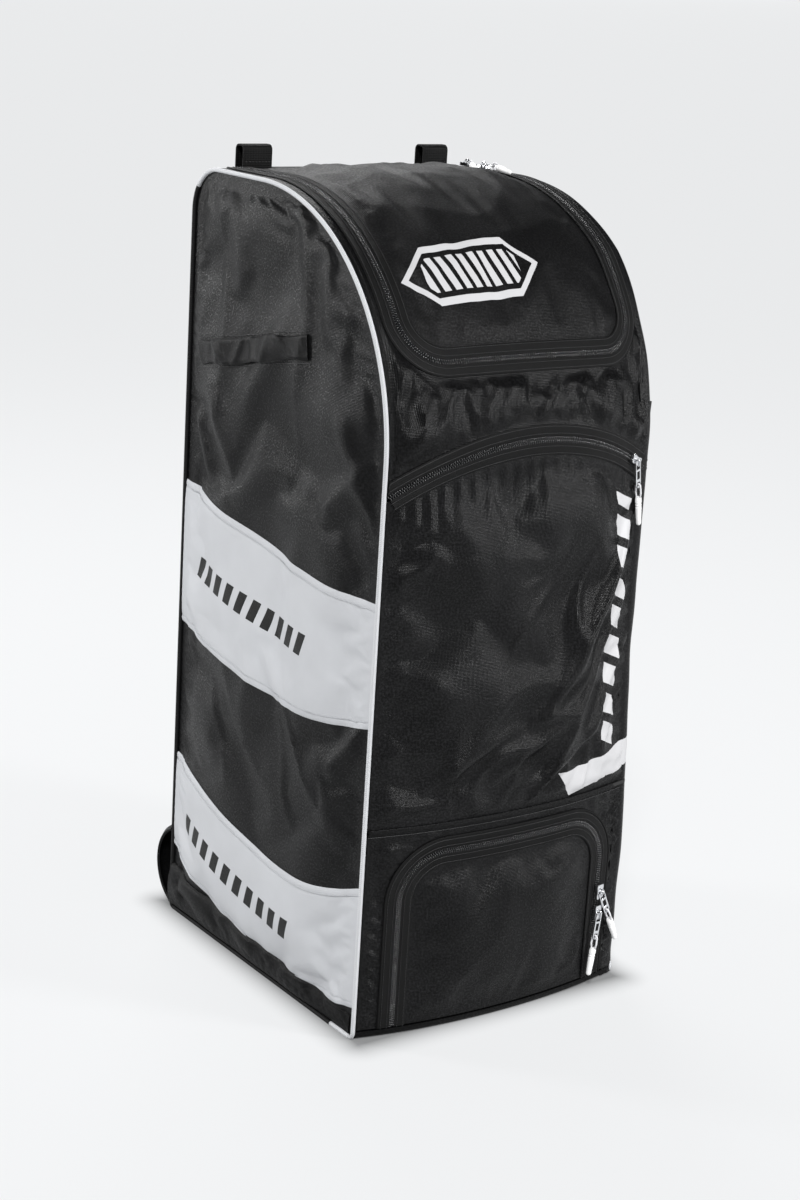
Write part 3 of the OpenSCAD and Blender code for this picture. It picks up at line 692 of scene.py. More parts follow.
print("finishes ready:", len(finishes))


def makeCamera():
    view = {
        "place": (-1.468, -2.0205, 1.140),
        "azimuth": -35.82,
        "elevation": 15.99,
        "roll": 3.52,
        "lens": 67.65,
    }
    azimuth, elevation, roll = (math.radians(view[k]) for k in ("azimuth", "elevation", "roll"))
    back = Vector(
        (
            math.sin(azimuth) * math.cos(elevation),
            -math.cos(azimuth) * math.cos(elevation),
            math.sin(elevation),
        )
    )
    level = (-back).cross(Vector((0, 0, 1))).normalized()
    upright = level.cross(-back)
    right = level * math.cos(roll) + upright * math.sin(roll)
    up = -level * math.sin(roll) + upright * math.cos(roll)
    data = bpy.data.cameras.new("View")
    data.lens = view["lens"]
    data.sensor_width = 36
    data.clip_end = 200
    camera = bpy.data.objects.new("View", data)
    camera.matrix_world = Matrix(
        (
            (right.x, up.x, back.x, view["place"][0]),
            (right.y, up.y, back.y, view["place"][1]),
            (right.z, up.z, back.z, view["place"][2]),
            (0, 0, 0, 1),
        )
    )
    bpy.context.scene.collection.objects.link(camera)
    bpy.context.scene.camera = camera


def areaLight(name, place, target, size, power):
    data = bpy.data.lights.new(name, "AREA")
    data.shape = "RECTANGLE"
    data.size, data.size_y = size
    data.energy = power
    light = bpy.data.objects.new(name, data)
    light.location = place
    light.rotation_euler = (Vector(target) - Vector(place)).to_track_quat("-Z", "Y").to_euler()
    bpy.context.scene.collection.objects.link(light)


def makeStudio():
    studio = {"half": 80.0, "wall": 60.0, "glow": 0.70, "sun": 3.0, "softness": 10, "world": 0.06}
    contact = {"width": 0.182, "middle": 0.004, "depth": 0.216, "fade": 22, "strength": 0.85}  # shade round the base
    bpy.ops.object.select_all(action="DESELECT")
    bpy.ops.mesh.primitive_plane_add(size=2 * studio["half"], location=(0, 0, 0))
    floor = bpy.context.object
    floor.name = "Floor"
    bpy.ops.object.mode_set(mode="EDIT")
    bpy.ops.mesh.select_all(action="DESELECT")
    bpy.ops.object.mode_set(mode="OBJECT")
    for edge in floor.data.edges:
        ends = [floor.data.vertices[i].co.y for i in edge.vertices]
        edge.select = min(ends) > studio["half"] - 0.1
    bpy.ops.object.mode_set(mode="EDIT")
    bpy.ops.mesh.select_mode(type="EDGE")
    bpy.ops.mesh.extrude_region_move(TRANSFORM_OT_translate={"value": (0, 0, studio["wall"])})
    bpy.ops.object.mode_set(mode="OBJECT")
    pale = (0.98, 0.99, 1.0, 1)
    paper = Finish("PalePaper", (0.15, 0.152, 0.154), 0.95, Emission_Strength=studio["glow"], Specular_IOR_Level=0.0)
    u, v, _ = paper.split(paper.objectPlace())
    aside = (u.op("ABSOLUTE") - contact["width"]).op("MAXIMUM", 0.0)
    ahead = ((v - contact["middle"]).op("ABSOLUTE") - contact["depth"]).op("MAXIMUM", 0.0)
    near = (1 - (aside * aside + ahead * ahead).op("SQRT") * contact["fade"]).op("MAXIMUM", 0.0)
    shade = paper.mixColour(near * near * contact["strength"], pale, (0.03, 0.03, 0.03, 1))
    paper.put("Emission Color", shade)
    floor.data.materials.append(paper.material)
    world = bpy.context.scene.world or bpy.data.worlds.new("Studio")
    bpy.context.scene.world = world
    world.use_nodes = True
    sky = next(n for n in world.node_tree.nodes if n.type == "BACKGROUND")
    sky.inputs["Color"].default_value = pale
    sky.inputs["Strength"].default_value = studio["world"]
    data = bpy.data.lights.new("SoftSun", "SUN")
    data.energy = studio["sun"]
    data.angle = math.radians(studio["softness"])
    sun = bpy.data.objects.new("SoftSun", data)
    sun.rotation_euler = Vector((1.5, 1.7, -2.5)).to_track_quat("-Z", "Y").to_euler()
    bpy.context.scene.collection.objects.link(sun)
    areaLight("FrontGloss", (2.2, -2.9, 1.6), (0, 0, 0.45), (0.7, 1.3), 110)
    areaLight("SideGloss", (-2.4, 2.6, 1.5), (0, 0, 0.45), (0.6, 1.3), 70)
    areaLight("TopGloss", (0.6, 1.9, 2.6), (0, 0, 0.8), (1.2, 0.6), 34)


makeCamera()
makeStudio()
bpy.context.scene.view_settings.view_transform = "Standard"
print("camera and studio ready")


side = {
    "pitch": 0.0055,
    "inset": 0.0035,  # the edge tucked behind the piping
    "puffLow": 0.012,
    "puffHigh": 0.005,
    "slack": 0.018,
}


def sideRows():
    straight = np.arange(0.0045, bag["straight"], side["pitch"])
    turn = np.linspace(0, math.pi / 2, int(arcLength / side["pitch"]))
    curved = bag["straight"] + (topRadius - side["inset"]) * np.sin(turn)
    return np.concatenate([straight, curved])


def sideGrid(sign):
    rows = sideRows()
    cols = int((backY - frontY) / side["pitch"])
    z = np.repeat(rows[:, None], cols, axis=1)
    share = np.linspace(0, 1, cols)[None]
    low = sideFront(rows)[:, None] + side["inset"]
    high = sideBack(rows)[:, None] - side["inset"]
    y = low + (high - low) * share
    edge = np.minimum.reduce([y - sideFront(z), sideBack(z) - y, z, bag["height"] - z])
    puff = side["puffHigh"] + (side["puffLow"] - side["puffHigh"]) * smooth((0.62 - z) / 0.45)
    out = puff * smooth(edge / 0.11)
    folds = foldsOf(y, z, [
        ((0.150, 0.690), (0.080, 0.560), 0.016, 0.0045),
        ((0.172, 0.640), (0.140, 0.545), 0.010, 0.004),
        ((0.130, 0.890), (0.060, 0.760), 0.022, 0.003),
        ((0.190, 0.820), (0.185, 0.620), 0.009, 0.003),
        ((-0.195, 0.640), (-0.090, 0.560), 0.016, 0.005),
        ((-0.190, 0.360), (-0.135, 0.280), 0.011, 0.004),
        ((-0.020, 0.760), (0.100, 0.600), 0.020, 0.0025),
        ((-0.120, 0.700), (-0.190, 0.560), 0.012, 0.003),
    ])
    uneven = 0.0011 * waves(y, z, 4, low=3, high=12)
    drape = 0.0036 * creases(y, z, 5, 78, 8, 4.0) * smooth((z - 0.57) / 0.07)
    drape = drape + 0.0016 * creases(y, z, 8, 60, 10, 3.0) * smooth((0.40 - z) / 0.05) * smooth((z - 0.2) / 0.05)
    broad = 0.0022 * waves(y, z, 9, low=2, high=7) * smooth((z - 0.55) / 0.08)
    out = out + (1.3 * folds + uneven + drape + broad) * smooth(edge / 0.035)
    points = np.stack([np.full_like(y, 0.0), y, z], axis=-1)
    points[..., 0] = sign * (sideX + out)
    return points, np.stack([y, z], axis=-1), edge


def makeSide(sign, label):
    points, flat, edge = sideGrid(sign)
    piece = gridPiece(f"side_{label}_cloth", points, flat, flip=sign < 0)
    hold = 1 - smooth((edge.ravel() - 0.006) / 0.02)
    clothSettle(piece, hold, slack=side["slack"], pressure=0.7, bending=1.5, cap=0.008)
    settled = coordinates(piece).reshape(points.shape)
    thicken(piece)
    dress(piece, finishes["shell"], "bag", [f"side_panel_{label}"])
    return settled


def onSide(settled):
    rows = sideRows()
    cols = settled.shape[1]
    sample = sampler(settled)
    sign = 1 if settled[0, 0, 0] > 0 else -1

    def at(y, z, out=0.0):
        v = np.interp(z, rows, np.arange(len(rows)))
        low = sideFront(z) + side["inset"]
        high = sideBack(z) - side["inset"]
        u = (y - low) / (high - low) * (cols - 1)
        place = sample(u, v)
        along = sample(u + 0.5, v) - sample(u - 0.5, v)
        rise = sample(u, v + 0.5) - sample(u, v - 0.5)
        normal = unitRows(np.cross(along, rise)) * sign
        normal = np.where(normal[..., :1] * sign < 0, -normal, normal)
        return place + normal * np.asarray(out)[..., None], normal

    return at


bandEdges = {
    "upper": {"low": 0.358, "lowRise": (0, -12, -15, 0, 10), "high": 0.494, "highRise": (0, 3, 14, 31, 46)},
    "lower": {"low": 0.038, "lowRise": (0, -12, -4, 16, 47), "high": 0.180, "highRise": (0, -24, -14, 5, 24)},
    "thickness": 0.0012,
    "fold": 0.008,
}


def bandCurve(y, base, rises):
    places = np.linspace(frontY, backY, len(rises))
    fit = np.polyfit(places, np.array(rises) * 0.001, 3)
    return base + np.polyval(fit, y)


def makeBand(settled, label, level):
    at = onSide(settled)
    cut = bandEdges[level]
    cols, rows = 100, 46
    y = np.linspace(frontY + 0.0045, backY - 0.0045, cols)[None].repeat(rows, 0)
    low, high = bandCurve(y, cut["low"], cut["lowRise"]), bandCurve(y, cut["high"], cut["highRise"])
    share = np.linspace(0, 1, rows)[:, None]
    z = low + (high - low) * share
    edge = np.minimum(z - low, high - z)
    seam = np.exp(-(((edge - bandEdges["fold"]) / 0.0016) ** 2))
    roll = np.sqrt(np.clip(edge / 0.0025, 0, 1))
    lift = bandEdges["thickness"] * roll + 0.0007 * smooth((edge - 0.009) / 0.02) - 0.0007 * seam
    points, _ = at(y, z, 0.0006 + lift)
    sign = 1 if settled[0, 0, 0] > 0 else -1
    flat = np.stack([y * (1 if sign < 0 else -1), z - (low + high) / 2], axis=-1)
    name = f"band_{level}_{label}"
    piece = gridPiece(name, points, flat, flip=sign < 0)
    thicken(piece, 0.0012)
    dress(piece, finishes["band"], "bag", [f"side_band_{level}_{label}"])
    for number, share in enumerate((bandEdges["fold"], -bandEdges["fold"])):
        ys = np.linspace(frontY + 0.008, backY - 0.008, 260)
        lows, highs = bandCurve(ys, cut["low"], cut["lowRise"]), bandCurve(ys, cut["high"], cut["highRise"])
        zs = lows + share if share > 0 else highs + share
        line, normals = at(ys, zs, 0.0017)
        stitchLine(f"{name}_stitches_{number}", line, normals, finishes["greyThread"], "bag", "band_fabric")


def stitchLine(name, line, normals, material, body, slot, pitch=0.0042, length=0.0030, width=0.0008):
    both = evenly(np.concatenate([line, normals], axis=1), pitch)
    centres, ups = both[:, :3], unitRows(both[:, 3:])
    alongs = tangents(centres)
    piece = beads(name, centres, alongs, ups, length, width, 0.0006)
    return dress(piece, material, body)


piping = {"inset": 0.0015, "radius": 0.0025, "sunk": 0.011}


def outline(inset):  # the side's outline from the front foot round to the rear foot
    corners = [
        ((frontY + bag["baseRadius"], bag["baseRadius"]), bag["baseRadius"] - inset, 270, 180, 6),
        ((frontY + topRadius, bag["straight"]), topRadius - inset, 180, 90, 110),
        ((backY - bag["rearRadius"], bag["height"] - bag["rearRadius"]), bag["rearRadius"] - inset, 90, 0, 24),
        ((backY - bag["baseRadius"], bag["baseRadius"]), bag["baseRadius"] - inset, 0, -90, 6),
    ]
    line = []
    for (cy, cz), r, a0, a1, n in corners:
        for k in range(n + 1):
            a = math.radians(a0 + (a1 - a0) * k / n)
            line.append((cy + r * math.cos(a), cz + r * math.sin(a)))
    return np.array(line)


def bead(name, line, material, replaces=()):
    sides = alike((1, 0, 0), len(line))
    piece = sweep(name, line, sides, np.cross(sides, tangents(line)), disc(piping["radius"], 12))
    dress(piece, finishes[material], "bag", replaces)


def makePiping(sign, label):
    # pale from the front foot over the top; dark down the back and under the side
    line = outline(piping["inset"])
    line = evenly(np.column_stack([np.full(len(line), sign * halfWidth), line]), 0.005)
    y, z = line[:, 1], line[:, 2]
    if sign > 0:  # behind the padded edge, where the front has sagged over it
        sink = piping["sunk"] * smooth((z - 0.004) / 0.03) * smooth((0.10 - y) / 0.12)
        inward = np.array([frontY + topRadius, 0.64])
        away = unitRows(np.column_stack([y - inward[0], np.maximum(z - inward[1], 0)]))
        line[:, 1] -= away[:, 0] * sink
        line[:, 2] -= away[:, 1] * sink
    turnBack = int(np.argmax((y > backY - 0.012) & (z > 0.5)))
    bead(f"piping_{label}_bead", line[: turnBack + 1], "piping", [f"piping_{label}"])
    foot = evenly(np.array([(sign * halfWidth, frontY + 0.045, piping["inset"]), line[0]]), 0.005)
    bead(f"piping_{label}_foot", foot, "piping")
    bead(f"piping_{label}_rear", line[turnBack:], "darkPiping")
    under = evenly(np.array([line[-1], (sign * halfWidth, frontY + 0.045, piping["inset"])]), 0.005)
    bead(f"piping_{label}_under", under, "darkPiping")


padded = {"from": 0.163, "lead": 0.0125, "radius": 0.0086, "thickness": 0.0015}


def makePaddedEdge():  # the right front edge, rolled over by the filling
    line = evenly(outline(0.0)[3:], 0.005)
    line = line[line[:, 0] < 0.06]
    rows = []
    steps = [("lead", k / 5) for k in range(5)] + [("turn", k / 10) for k in range(11)]
    fade = smooth((0.055 - line[:, 0]) / 0.10) * smooth((line[:, 1] - 0.006) / 0.04)
    s = line[0, 1] + runLength(line)
    for kind, t in steps:
        if kind == "lead":
            x = padded["from"] + padded["lead"] * t
            out = -0.0006 + 0.0026 * smooth(t) * fade
        else:
            angle = math.radians(100 * t)
            x = padded["from"] + padded["lead"] + padded["radius"] * math.sin(angle)
            out = (padded["radius"] * (math.cos(angle) - 1) + 0.002) * fade - 0.002 * (1 - fade) * t
        rows.append(onFront(np.full_like(s, x), s, out))
    points = np.stack(rows)
    run = np.cumsum([0.0] + [0.0025] * (len(rows) - 1))
    flat = np.stack([padded["from"] + run[:, None].repeat(len(s), 1), s[None].repeat(len(rows), 0)], axis=-1)
    uneven = 0.0006 * waves(flat[3:, :, 0] * 0.3, flat[3:, :, 1], 151, low=6, high=24)
    points[3:] += uneven[..., None] * np.array([0.5, -0.8, 0.3])
    piece = gridPiece("padded_edge_cloth", points, flat)
    faceOut(piece, points, padded["from"], s[0])
    thicken(piece, padded["thickness"])
    dress(piece, finishes["pocket"], "bag")


boot = {"front": 0.026, "rear": 0.060, "out": 0.0085}


def makeBoot(settled, label):  # a padded foot along each side, joining the heel guard
    at = onSide(settled)
    cols, rows = 110, 22
    y = np.linspace(frontY + 0.010, backY - 0.0045, cols)[None].repeat(rows, 0)
    share = (y - frontY) / (backY - frontY)
    top = boot["front"] + (boot["rear"] - boot["front"]) * share
    t = np.linspace(0, 1, rows)[:, None]
    z = 0.0048 + (top - 0.0048) * t
    round_ = np.sqrt(np.clip(1 - (2 * t - 1) ** 2, 0, 1))
    ends = smooth((y - frontY - 0.010) / 0.12)
    out = 0.0006 + boot["out"] * round_ * (0.1 + 0.9 * ends) + 0.0006 * waves(y, z, 161, low=5, high=16) * round_
    points, _ = at(y, z, out)
    sign = 1 if settled[0, 0, 0] > 0 else -1
    piece = gridPiece(f"boot_{label}_cloth", points, np.stack([y, z], axis=-1), flip=sign < 0)
    thicken(piece, 0.0015)
    dress(piece, finishes["heel"], "bag")


grab = {
    "centreY": 0.051,
    "centreZ": 0.716,
    "length": 0.228,
    "height": 0.028,
    "tilt": 11,
    "stand": 0.0055,
    "gathers": (  # place along the strip, lean and size of each pucker
        (-0.078, 0.9, 1.0),
        (-0.042, -0.5, 0.8),
        (-0.010, 0.6, 1.0),
        (0.024, -0.7, 0.9),
        (0.060, 0.8, 1.0),
        (0.090, -0.3, 0.6),
    ),
}


def makeGrab(settled, sign, label):
    at = onSide(settled)
    cols, rows = 150, 20
    along = np.linspace(-grab["length"] / 2, grab["length"] / 2, cols)[None].repeat(rows, 0)
    across = np.linspace(-grab["height"] / 2, grab["height"] / 2, rows)[:, None].repeat(cols, 1)
    tilt = math.radians(grab["tilt"])
    pinch = 1 - 0.16 * smooth(1 - np.abs(np.abs(along) - 0.085) / 0.03)
    wide = across * pinch
    y = grab["centreY"] + along * math.cos(tilt) + wide * math.sin(tilt)
    z = grab["centreZ"] - along * math.sin(tilt) + wide * math.cos(tilt)
    ends = smooth((grab["length"] / 2 - np.abs(along)) / 0.05)
    gathers = np.zeros_like(along)
    for centre, lean, size in grab["gathers"]:
        gathers += size * np.exp(-(((along - centre - lean * across) / 0.0075) ** 2))
    roll = np.sqrt(np.clip((grab["height"] / 2 - np.abs(across)) / 0.003, 0, 1))
    out = 0.0008 + grab["stand"] * ends * 0.6 + 0.0016 * roll + 0.0022 * gathers * (0.35 + 0.65 * ends)
    points, _ = at(y, z, out)
    flat = np.stack([along, across], axis=-1)
    piece = gridPiece(f"grab_{label}_strip", points, flat, flip=sign < 0)
    thicken(piece, 0.0016)
    dress(piece, finishes["gathered"], "bag", [f"side_handle_{label}"])
    for number, dz in enumerate((0.0165, -0.0165)):
        t = np.linspace(-grab["length"] / 2, grab["length"] / 2, 120)
        ys = grab["centreY"] + t * math.cos(tilt) + dz * math.sin(tilt)
        zs = grab["centreZ"] - t * math.sin(tilt) + dz * math.cos(tilt)
        line, normals = at(ys, zs, 0.0002)
        stitchLine(f"grab_{label}_stitches_{number}", line, normals, finishes["thread"], "bag", "shell_fabric")


for sign, label in ((-1, "left"), (1, "right")):
    settled = makeSide(sign, label)
    for level in ("upper", "lower"):
        makeBand(settled, label, level)
    makePiping(sign, label)
    makeBoot(settled, label)
    makeGrab(settled, sign, label)
makePaddedEdge()
print("sides ready")


zips = {"lift": 0.0004, "thickness": 0.0007, "pitch": 0.0027, "tooth": 0.0042, "height": 0.0015}


def cornerPath(leg, half, corner, cornerS, down):
    # up one leg, round two corners and back, in even steps; down is -1 where the corners are below
    turn = np.radians(np.linspace(0, 90, 24))
    side_ = np.stack([np.full(len(leg), half), leg], axis=1)
    bend = np.stack([half - corner + corner * np.cos(turn), cornerS + down * corner * np.sin(turn)], axis=1)
    path = np.concatenate([side_, bend])
    return evenly(np.concatenate([path, (path * [-1, 1])[::-1]]), 0.004)


def lidPath():
    cornerS = lid["bottom"] + lid["corner"]
    return cornerPath(np.linspace(hingeS - 0.004, cornerS, 90), lid["half"], lid["corner"], cornerS, -1)


def flapPath():
    cornerS = flap["top"] - flap["corner"]
    return cornerPath(np.linspace(flap["bottom"], cornerS, 40), flap["half"], flap["corner"], cornerS, 1)


def archPath(low, high):
    x = np.linspace(low, high, 160)
    return evenly(np.stack([x, arch(x)], axis=1), 0.004)


def beside(path, side_, distance):  # the same line moved sideways on the cloth
    along = tangents(path)
    across = np.stack([-along[:, 1], along[:, 0]], axis=1) * side_
    moved = path + across * distance
    moved[:, 0] = np.clip(moved[:, 0], -panelHalf, panelHalf)
    return moved


def lineOnFront(line, out):
    return onFront(line[:, 0], line[:, 1], out), frontNormal(line[:, 0], line[:, 1])


def makeTape(name, path, side_, body, node):
    places = [0.0022, 0.0042, 0.0075, 0.011, 0.0135, 0.0150]
    lifts = [0.0004, 0.0008, 0.0009, 0.0010, 0.0012, 0.0006]
    rows = [onFront(*beside(path, side_, w).T, zips["lift"] + h) for w, h in zip(places, lifts)]
    points = np.stack(rows)
    flat = np.stack(np.meshgrid(places, runLength(path), indexing="ij"), axis=-1)
    piece = gridPiece(name, points, flat)
    faceOut(piece, points, path[0, 0], path[0, 1])
    thicken(piece, zips["thickness"])
    dress(piece, finishes["tape"], body, [node] if node else [])
    for number, w in enumerate((0.0062, 0.0130)):
        line, normals = lineOnFront(beside(path, side_, w), zips["lift"] + 0.0009)
        size = {"pitch": 0.0036, "length": 0.0026, "width": 0.0006}
        stitchLine(f"{name}_stitches_{number}", line, normals, finishes["thread"], body, "zip_tape", **size)


def makeCoil(name, path, side_, body, start):
    marks = evenly(path, zips["pitch"] / 4)[start::4]
    inner, outer = beside(marks, side_, -0.0003), beside(marks, side_, 0.0003)
    middle = beside(marks, side_, zips["tooth"] / 2 - 0.0006)
    centres, ups = lineOnFront(middle, zips["lift"])
    across = unitRows(onFront(*outer.T) - onFront(*inner.T))
    piece = beads(name, centres, across, ups, zips["tooth"], 0.0014, zips["height"])
    return dress(piece, finishes["coil"], body)


def makeZips():
    lidLine = lidPath()[::-1]
    makeTape("lid_zip_outer_tape", lidLine, -1, "bag", "lid_zip_body_half")
    makeCoil("lid_zip_outer_coil", lidLine, -1, "bag", 0)
    makeTape("lid_zip_inner_tape", lidLine, 1, "lid", "lid_zip_lid_half")
    makeCoil("lid_zip_inner_coil", lidLine, 1, "lid", 2)
    archLine = archPath(-panelHalf + 0.001, panelHalf - 0.001)
    makeTape("pocket_zip_upper_tape", archLine, 1, "bag", "pocket_zip_upper_half")
    makeCoil("pocket_zip_upper_coil", archLine, 1, "bag", 0)
    for label, low, high in (("left", -panelHalf + 0.001, -faceHalf), ("right", faceHalf, panelHalf - 0.001)):
        part = archPath(low, high)
        makeTape(f"pocket_zip_{label}_tape", part, -1, "bag", "pocket_zip_ends")
        makeCoil(f"pocket_zip_{label}_coil", part, -1, "bag", 2)
    part = archPath(-faceHalf, faceHalf)
    makeTape("pocket_zip_face_tape", part, -1, "pocket_front", "pocket_zip_face_half")
    makeCoil("pocket_zip_face_coil", part, -1, "pocket_front", 2)
    flapLine = flapPath()
    makeTape("flap_zip_outer_tape", flapLine, -1, "bag", "flap_zip_body_half")
    makeCoil("flap_zip_outer_coil", flapLine, -1, "bag", 0)
    makeTape("flap_zip_inner_tape", flapLine, 1, "base_flap", "flap_zip_flap_half")
    makeCoil("flap_zip_inner_coil", flapLine, 1, "base_flap", 2)


makeZips()
print("zips ready")


cloth = {"pitch": 0.0042}  # distance between the mesh's points


def frontPiece(name, x, s, edge, displacement, **settle):
    # edge is the distance to the nearest seam; displacement is pushed out where the cloth is free
    free = smooth((edge - 0.002) / 0.014)
    points = onFront(x, s, displacement * free - 0.0002)
    piece = gridPiece(name, points, np.stack([x, s], axis=-1))
    faceOut(piece, points, x[0, 0], s[0, 0])
    hold = 1 - smooth((edge.ravel() - 0.003) / 0.016)
    clothSettle(piece, hold, **settle)
    return piece


def gather(x, distance, seed, wave=0.017, height=0.0022, reach=0.022):
    # puckers that start at a sewn edge and die away from it
    phase = x / wave * 2 * math.pi + 1.7 * waves(x, x * 0, seed, low=2, high=9)
    size = 0.55 + 0.45 * waves(x, x * 0, seed + 1, low=3, high=11)
    return height * size * np.sin(phase) * np.exp(-distance / reach) * smooth(distance / 0.006)


def makePocketFront():
    cols = int(2 * panelHalf / cloth["pitch"]) // 2 * 2 + 1
    rows = int((arch(0) - seamZ) / cloth["pitch"])
    xs = np.linspace(-panelHalf, panelHalf, cols)
    x = xs[None].repeat(rows, 0)
    top = arch(x) - bag["zipGap"]
    low = seamZ + 0.0024
    share = np.linspace(0, 1, rows)[:, None]
    s = low + (top - low) * share
    fromZip = np.maximum(top - s - 0.010, 0)
    edge = np.minimum.reduce([panelHalf - np.abs(x), s - low, fromZip])
    folds = foldsOf(x, s, [
        ((0.010, 0.330), (0.160, 0.560), 0.010, 0.0050),
        ((0.055, 0.330), (0.165, 0.500), 0.008, 0.0045),
        ((0.085, 0.300), (0.168, 0.430), 0.007, 0.0040),
        ((-0.120, 0.285), (0.010, 0.420), 0.012, 0.0045),
        ((-0.150, 0.270), (-0.020, 0.350), 0.010, 0.0045),
        ((-0.060, 0.270), (0.070, 0.360), 0.009, 0.0035),
        ((0.000, 0.262), (0.110, 0.325), 0.007, 0.0030),
        ((-0.175, 0.500), (-0.115, 0.565), 0.010, 0.0040),
        ((-0.110, 0.600), (-0.060, 0.480), 0.018, 0.0040),
        ((-0.172, 0.420), (-0.100, 0.400), 0.012, 0.0035),
        ((0.172, 0.590), (0.080, 0.430), 0.008, 0.0030),
    ])
    swell = 0.004 * smooth(edge / 0.09)
    uneven = 0.0014 * waves(x, s, 12, low=4, high=16)
    side_ = gather(s, panelHalf - np.abs(x), 31, wave=0.026, height=0.0020, reach=0.020)
    right = smooth((x + 0.05) / 0.12)
    drawn = 0.0095 * creases(x, s, 14, 52, 13, 4.5) * right * smooth((0.56 - s) / 0.12)
    pulled = 0.0075 * creases(x, s, 17, 24, 14, 3.0) * smooth((0.40 - s) / 0.10) * (1 - 0.6 * right)
    broad = 0.0032 * waves(x, s, 19, low=3, high=8) * smooth(edge / 0.05)
    printed = 1 - 0.8 * smooth((x - 0.085) / 0.025)
    drawn, pulled, broad = drawn * printed, pulled * printed, broad * printed
    displacement = 1.2 * folds + swell + uneven + broad + drawn + pulled + 1.4 * gather(x, fromZip, 21) + side_
    settle = {"slack": 0.022, "pressure": 0.8, "bending": 0.8, "cap": 0.008}
    piece = frontPiece("pocket_front_cloth", x, s, edge, displacement, **settle)
    mesh = piece.data
    normals = np.zeros(len(mesh.vertices) * 3)
    mesh.vertex_normals.foreach_get("vector", normals)
    normals = normals.reshape(rows, cols, 3)
    points = coordinates(piece).reshape(rows, cols, 3)
    flat = np.stack([x, s], axis=-1)
    bpy.data.objects.remove(piece)
    middle = cols // 2
    for label, part in (("left", slice(0, middle + 1)), ("right", slice(middle, cols))):
        outer, turned = points[:, part], normals[:, part]
        inner = outer - turned * bag["wall"]
        count, width = outer.shape[:2]
        faces = gridFaces(count, width)
        back = [tuple(count * width + k for k in reversed(f)) for f in faces]
        ring = list(range(width))
        ring += [i * width + width - 1 for i in range(1, count)]
        ring += [(count - 1) * width + j for j in range(width - 2, -1, -1)]
        ring += [i * width for i in range(count - 2, 0, -1)]
        rim = [
            (ring[(k + 1) % len(ring)], ring[k], ring[k] + count * width, ring[(k + 1) % len(ring)] + count * width)
            for k in range(len(ring))
        ]
        both = np.concatenate([outer.reshape(-1, 3), inner.reshape(-1, 3)])
        uvs = np.concatenate([flat[:, part].reshape(-1, 2)] * 2)
        half = makeMesh(f"pocket_front_{label}", both, faces + back + rim, uvs)
        half.data.normals_split_custom_set_from_vertices(
            np.concatenate([turned.reshape(-1, 3), -turned.reshape(-1, 3)]).tolist()
        )
        stands = ["pocket_cheek_left", "pocket_face"] if label == "left" else ["pocket_cheek_right"]
        dress(half, finishes["pocket"], None, stands)
        sign = -1 if label == "left" else 1
        start, end = sign * (panelHalf - 0.004), sign * faceHalf
        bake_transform(half)


def makeYoke():
    # one cloth from the left side of the lid, round under it, to the right side
    gap = bag["zipGap"]
    inner = beside(lidPath()[::-1], -1, gap)
    inner = evenly(inner, cloth["pitch"])
    inner[:, 0] = np.clip(inner[:, 0], -lid["half"] - gap, lid["half"] + gap)
    outer = np.zeros_like(inner)
    cornerS = lid["bottom"] + lid["corner"]
    footX = lid["half"] - lid["corner"]
    for k, (px, ps) in enumerate(inner):
        sign = 1 if px > 0 else -1
        if ps >= cornerS - 1e-6:
            outer[k] = (sign * panelHalf, ps)
        elif abs(px) > footX:
            turn = math.degrees(math.atan2(abs(px) - footX, cornerS - ps)) / 90
            down = cornerS - (1 - turn) * 2 * (cornerS - arch(panelHalf))
            if turn > 0.5:
                outer[k] = (sign * panelHalf, max(down, arch(panelHalf) + gap))
            else:
                x = panelHalf - (1 - 2 * turn) * (panelHalf - footX)
                outer[k] = (sign * x, arch(x) + gap)
        else:
            outer[k] = (px, arch(px) + gap)
    rows = 30
    share = np.linspace(0, 1, rows)[:, None, None]
    grid = inner[None] * (1 - share) + outer[None] * share
    x, s = grid[..., 0], grid[..., 1]
    fromLid = np.linalg.norm(grid - inner[None], axis=-1)
    fromArch = np.maximum(s - arch(x) - gap, 0)
    fromSide = panelHalf - np.abs(x)
    edge = np.minimum.reduce([np.maximum(fromLid - 0.010, 0), np.maximum(fromArch - 0.010, 0), fromSide])
    puckers = gather(x + s * 0.3, fromArch, 41, wave=0.020, height=0.0028) + gather(
        x - s * 0.4, fromLid, 51, wave=0.024, height=0.0022
    )
    folds = foldsOf(x, s, [
        ((-0.170, 0.640), (-0.130, 0.720), 0.008, 0.0045),
        ((-0.140, 0.650), (-0.100, 0.735), 0.008, 0.0035),
        ((-0.080, 0.665), (-0.050, 0.730), 0.012, 0.0035),
        ((0.020, 0.670), (0.050, 0.725), 0.011, 0.0035),
        ((0.090, 0.655), (0.110, 0.730), 0.009, 0.0035),
        ((0.150, 0.640), (0.140, 0.720), 0.008, 0.0040),
    ])
    uneven = 0.0016 * waves(x, s, 61, low=6, high=22) + 0.0048 * creases(x, s, 63, 62, 16, 2.5)
    swell = 0.003 * smooth(edge / 0.03)
    settle = {"slack": 0.03, "pressure": 0.6, "bending": 0.6, "cap": 0.007}
    piece = frontPiece("yoke_cloth", x, s, edge, puckers + folds + uneven + swell, **settle)
    thicken(piece)
    stands = ["yoke_panel", "lid_side_strip_left", "lid_side_strip_right"]
    dress(piece, finishes["shell"], "bag", stands)


def roundedTop(half, top, corner, x):
    over = np.maximum(np.abs(x) - (half - corner), 0)
    return top - corner + np.sqrt(np.maximum(corner**2 - over**2, 0))


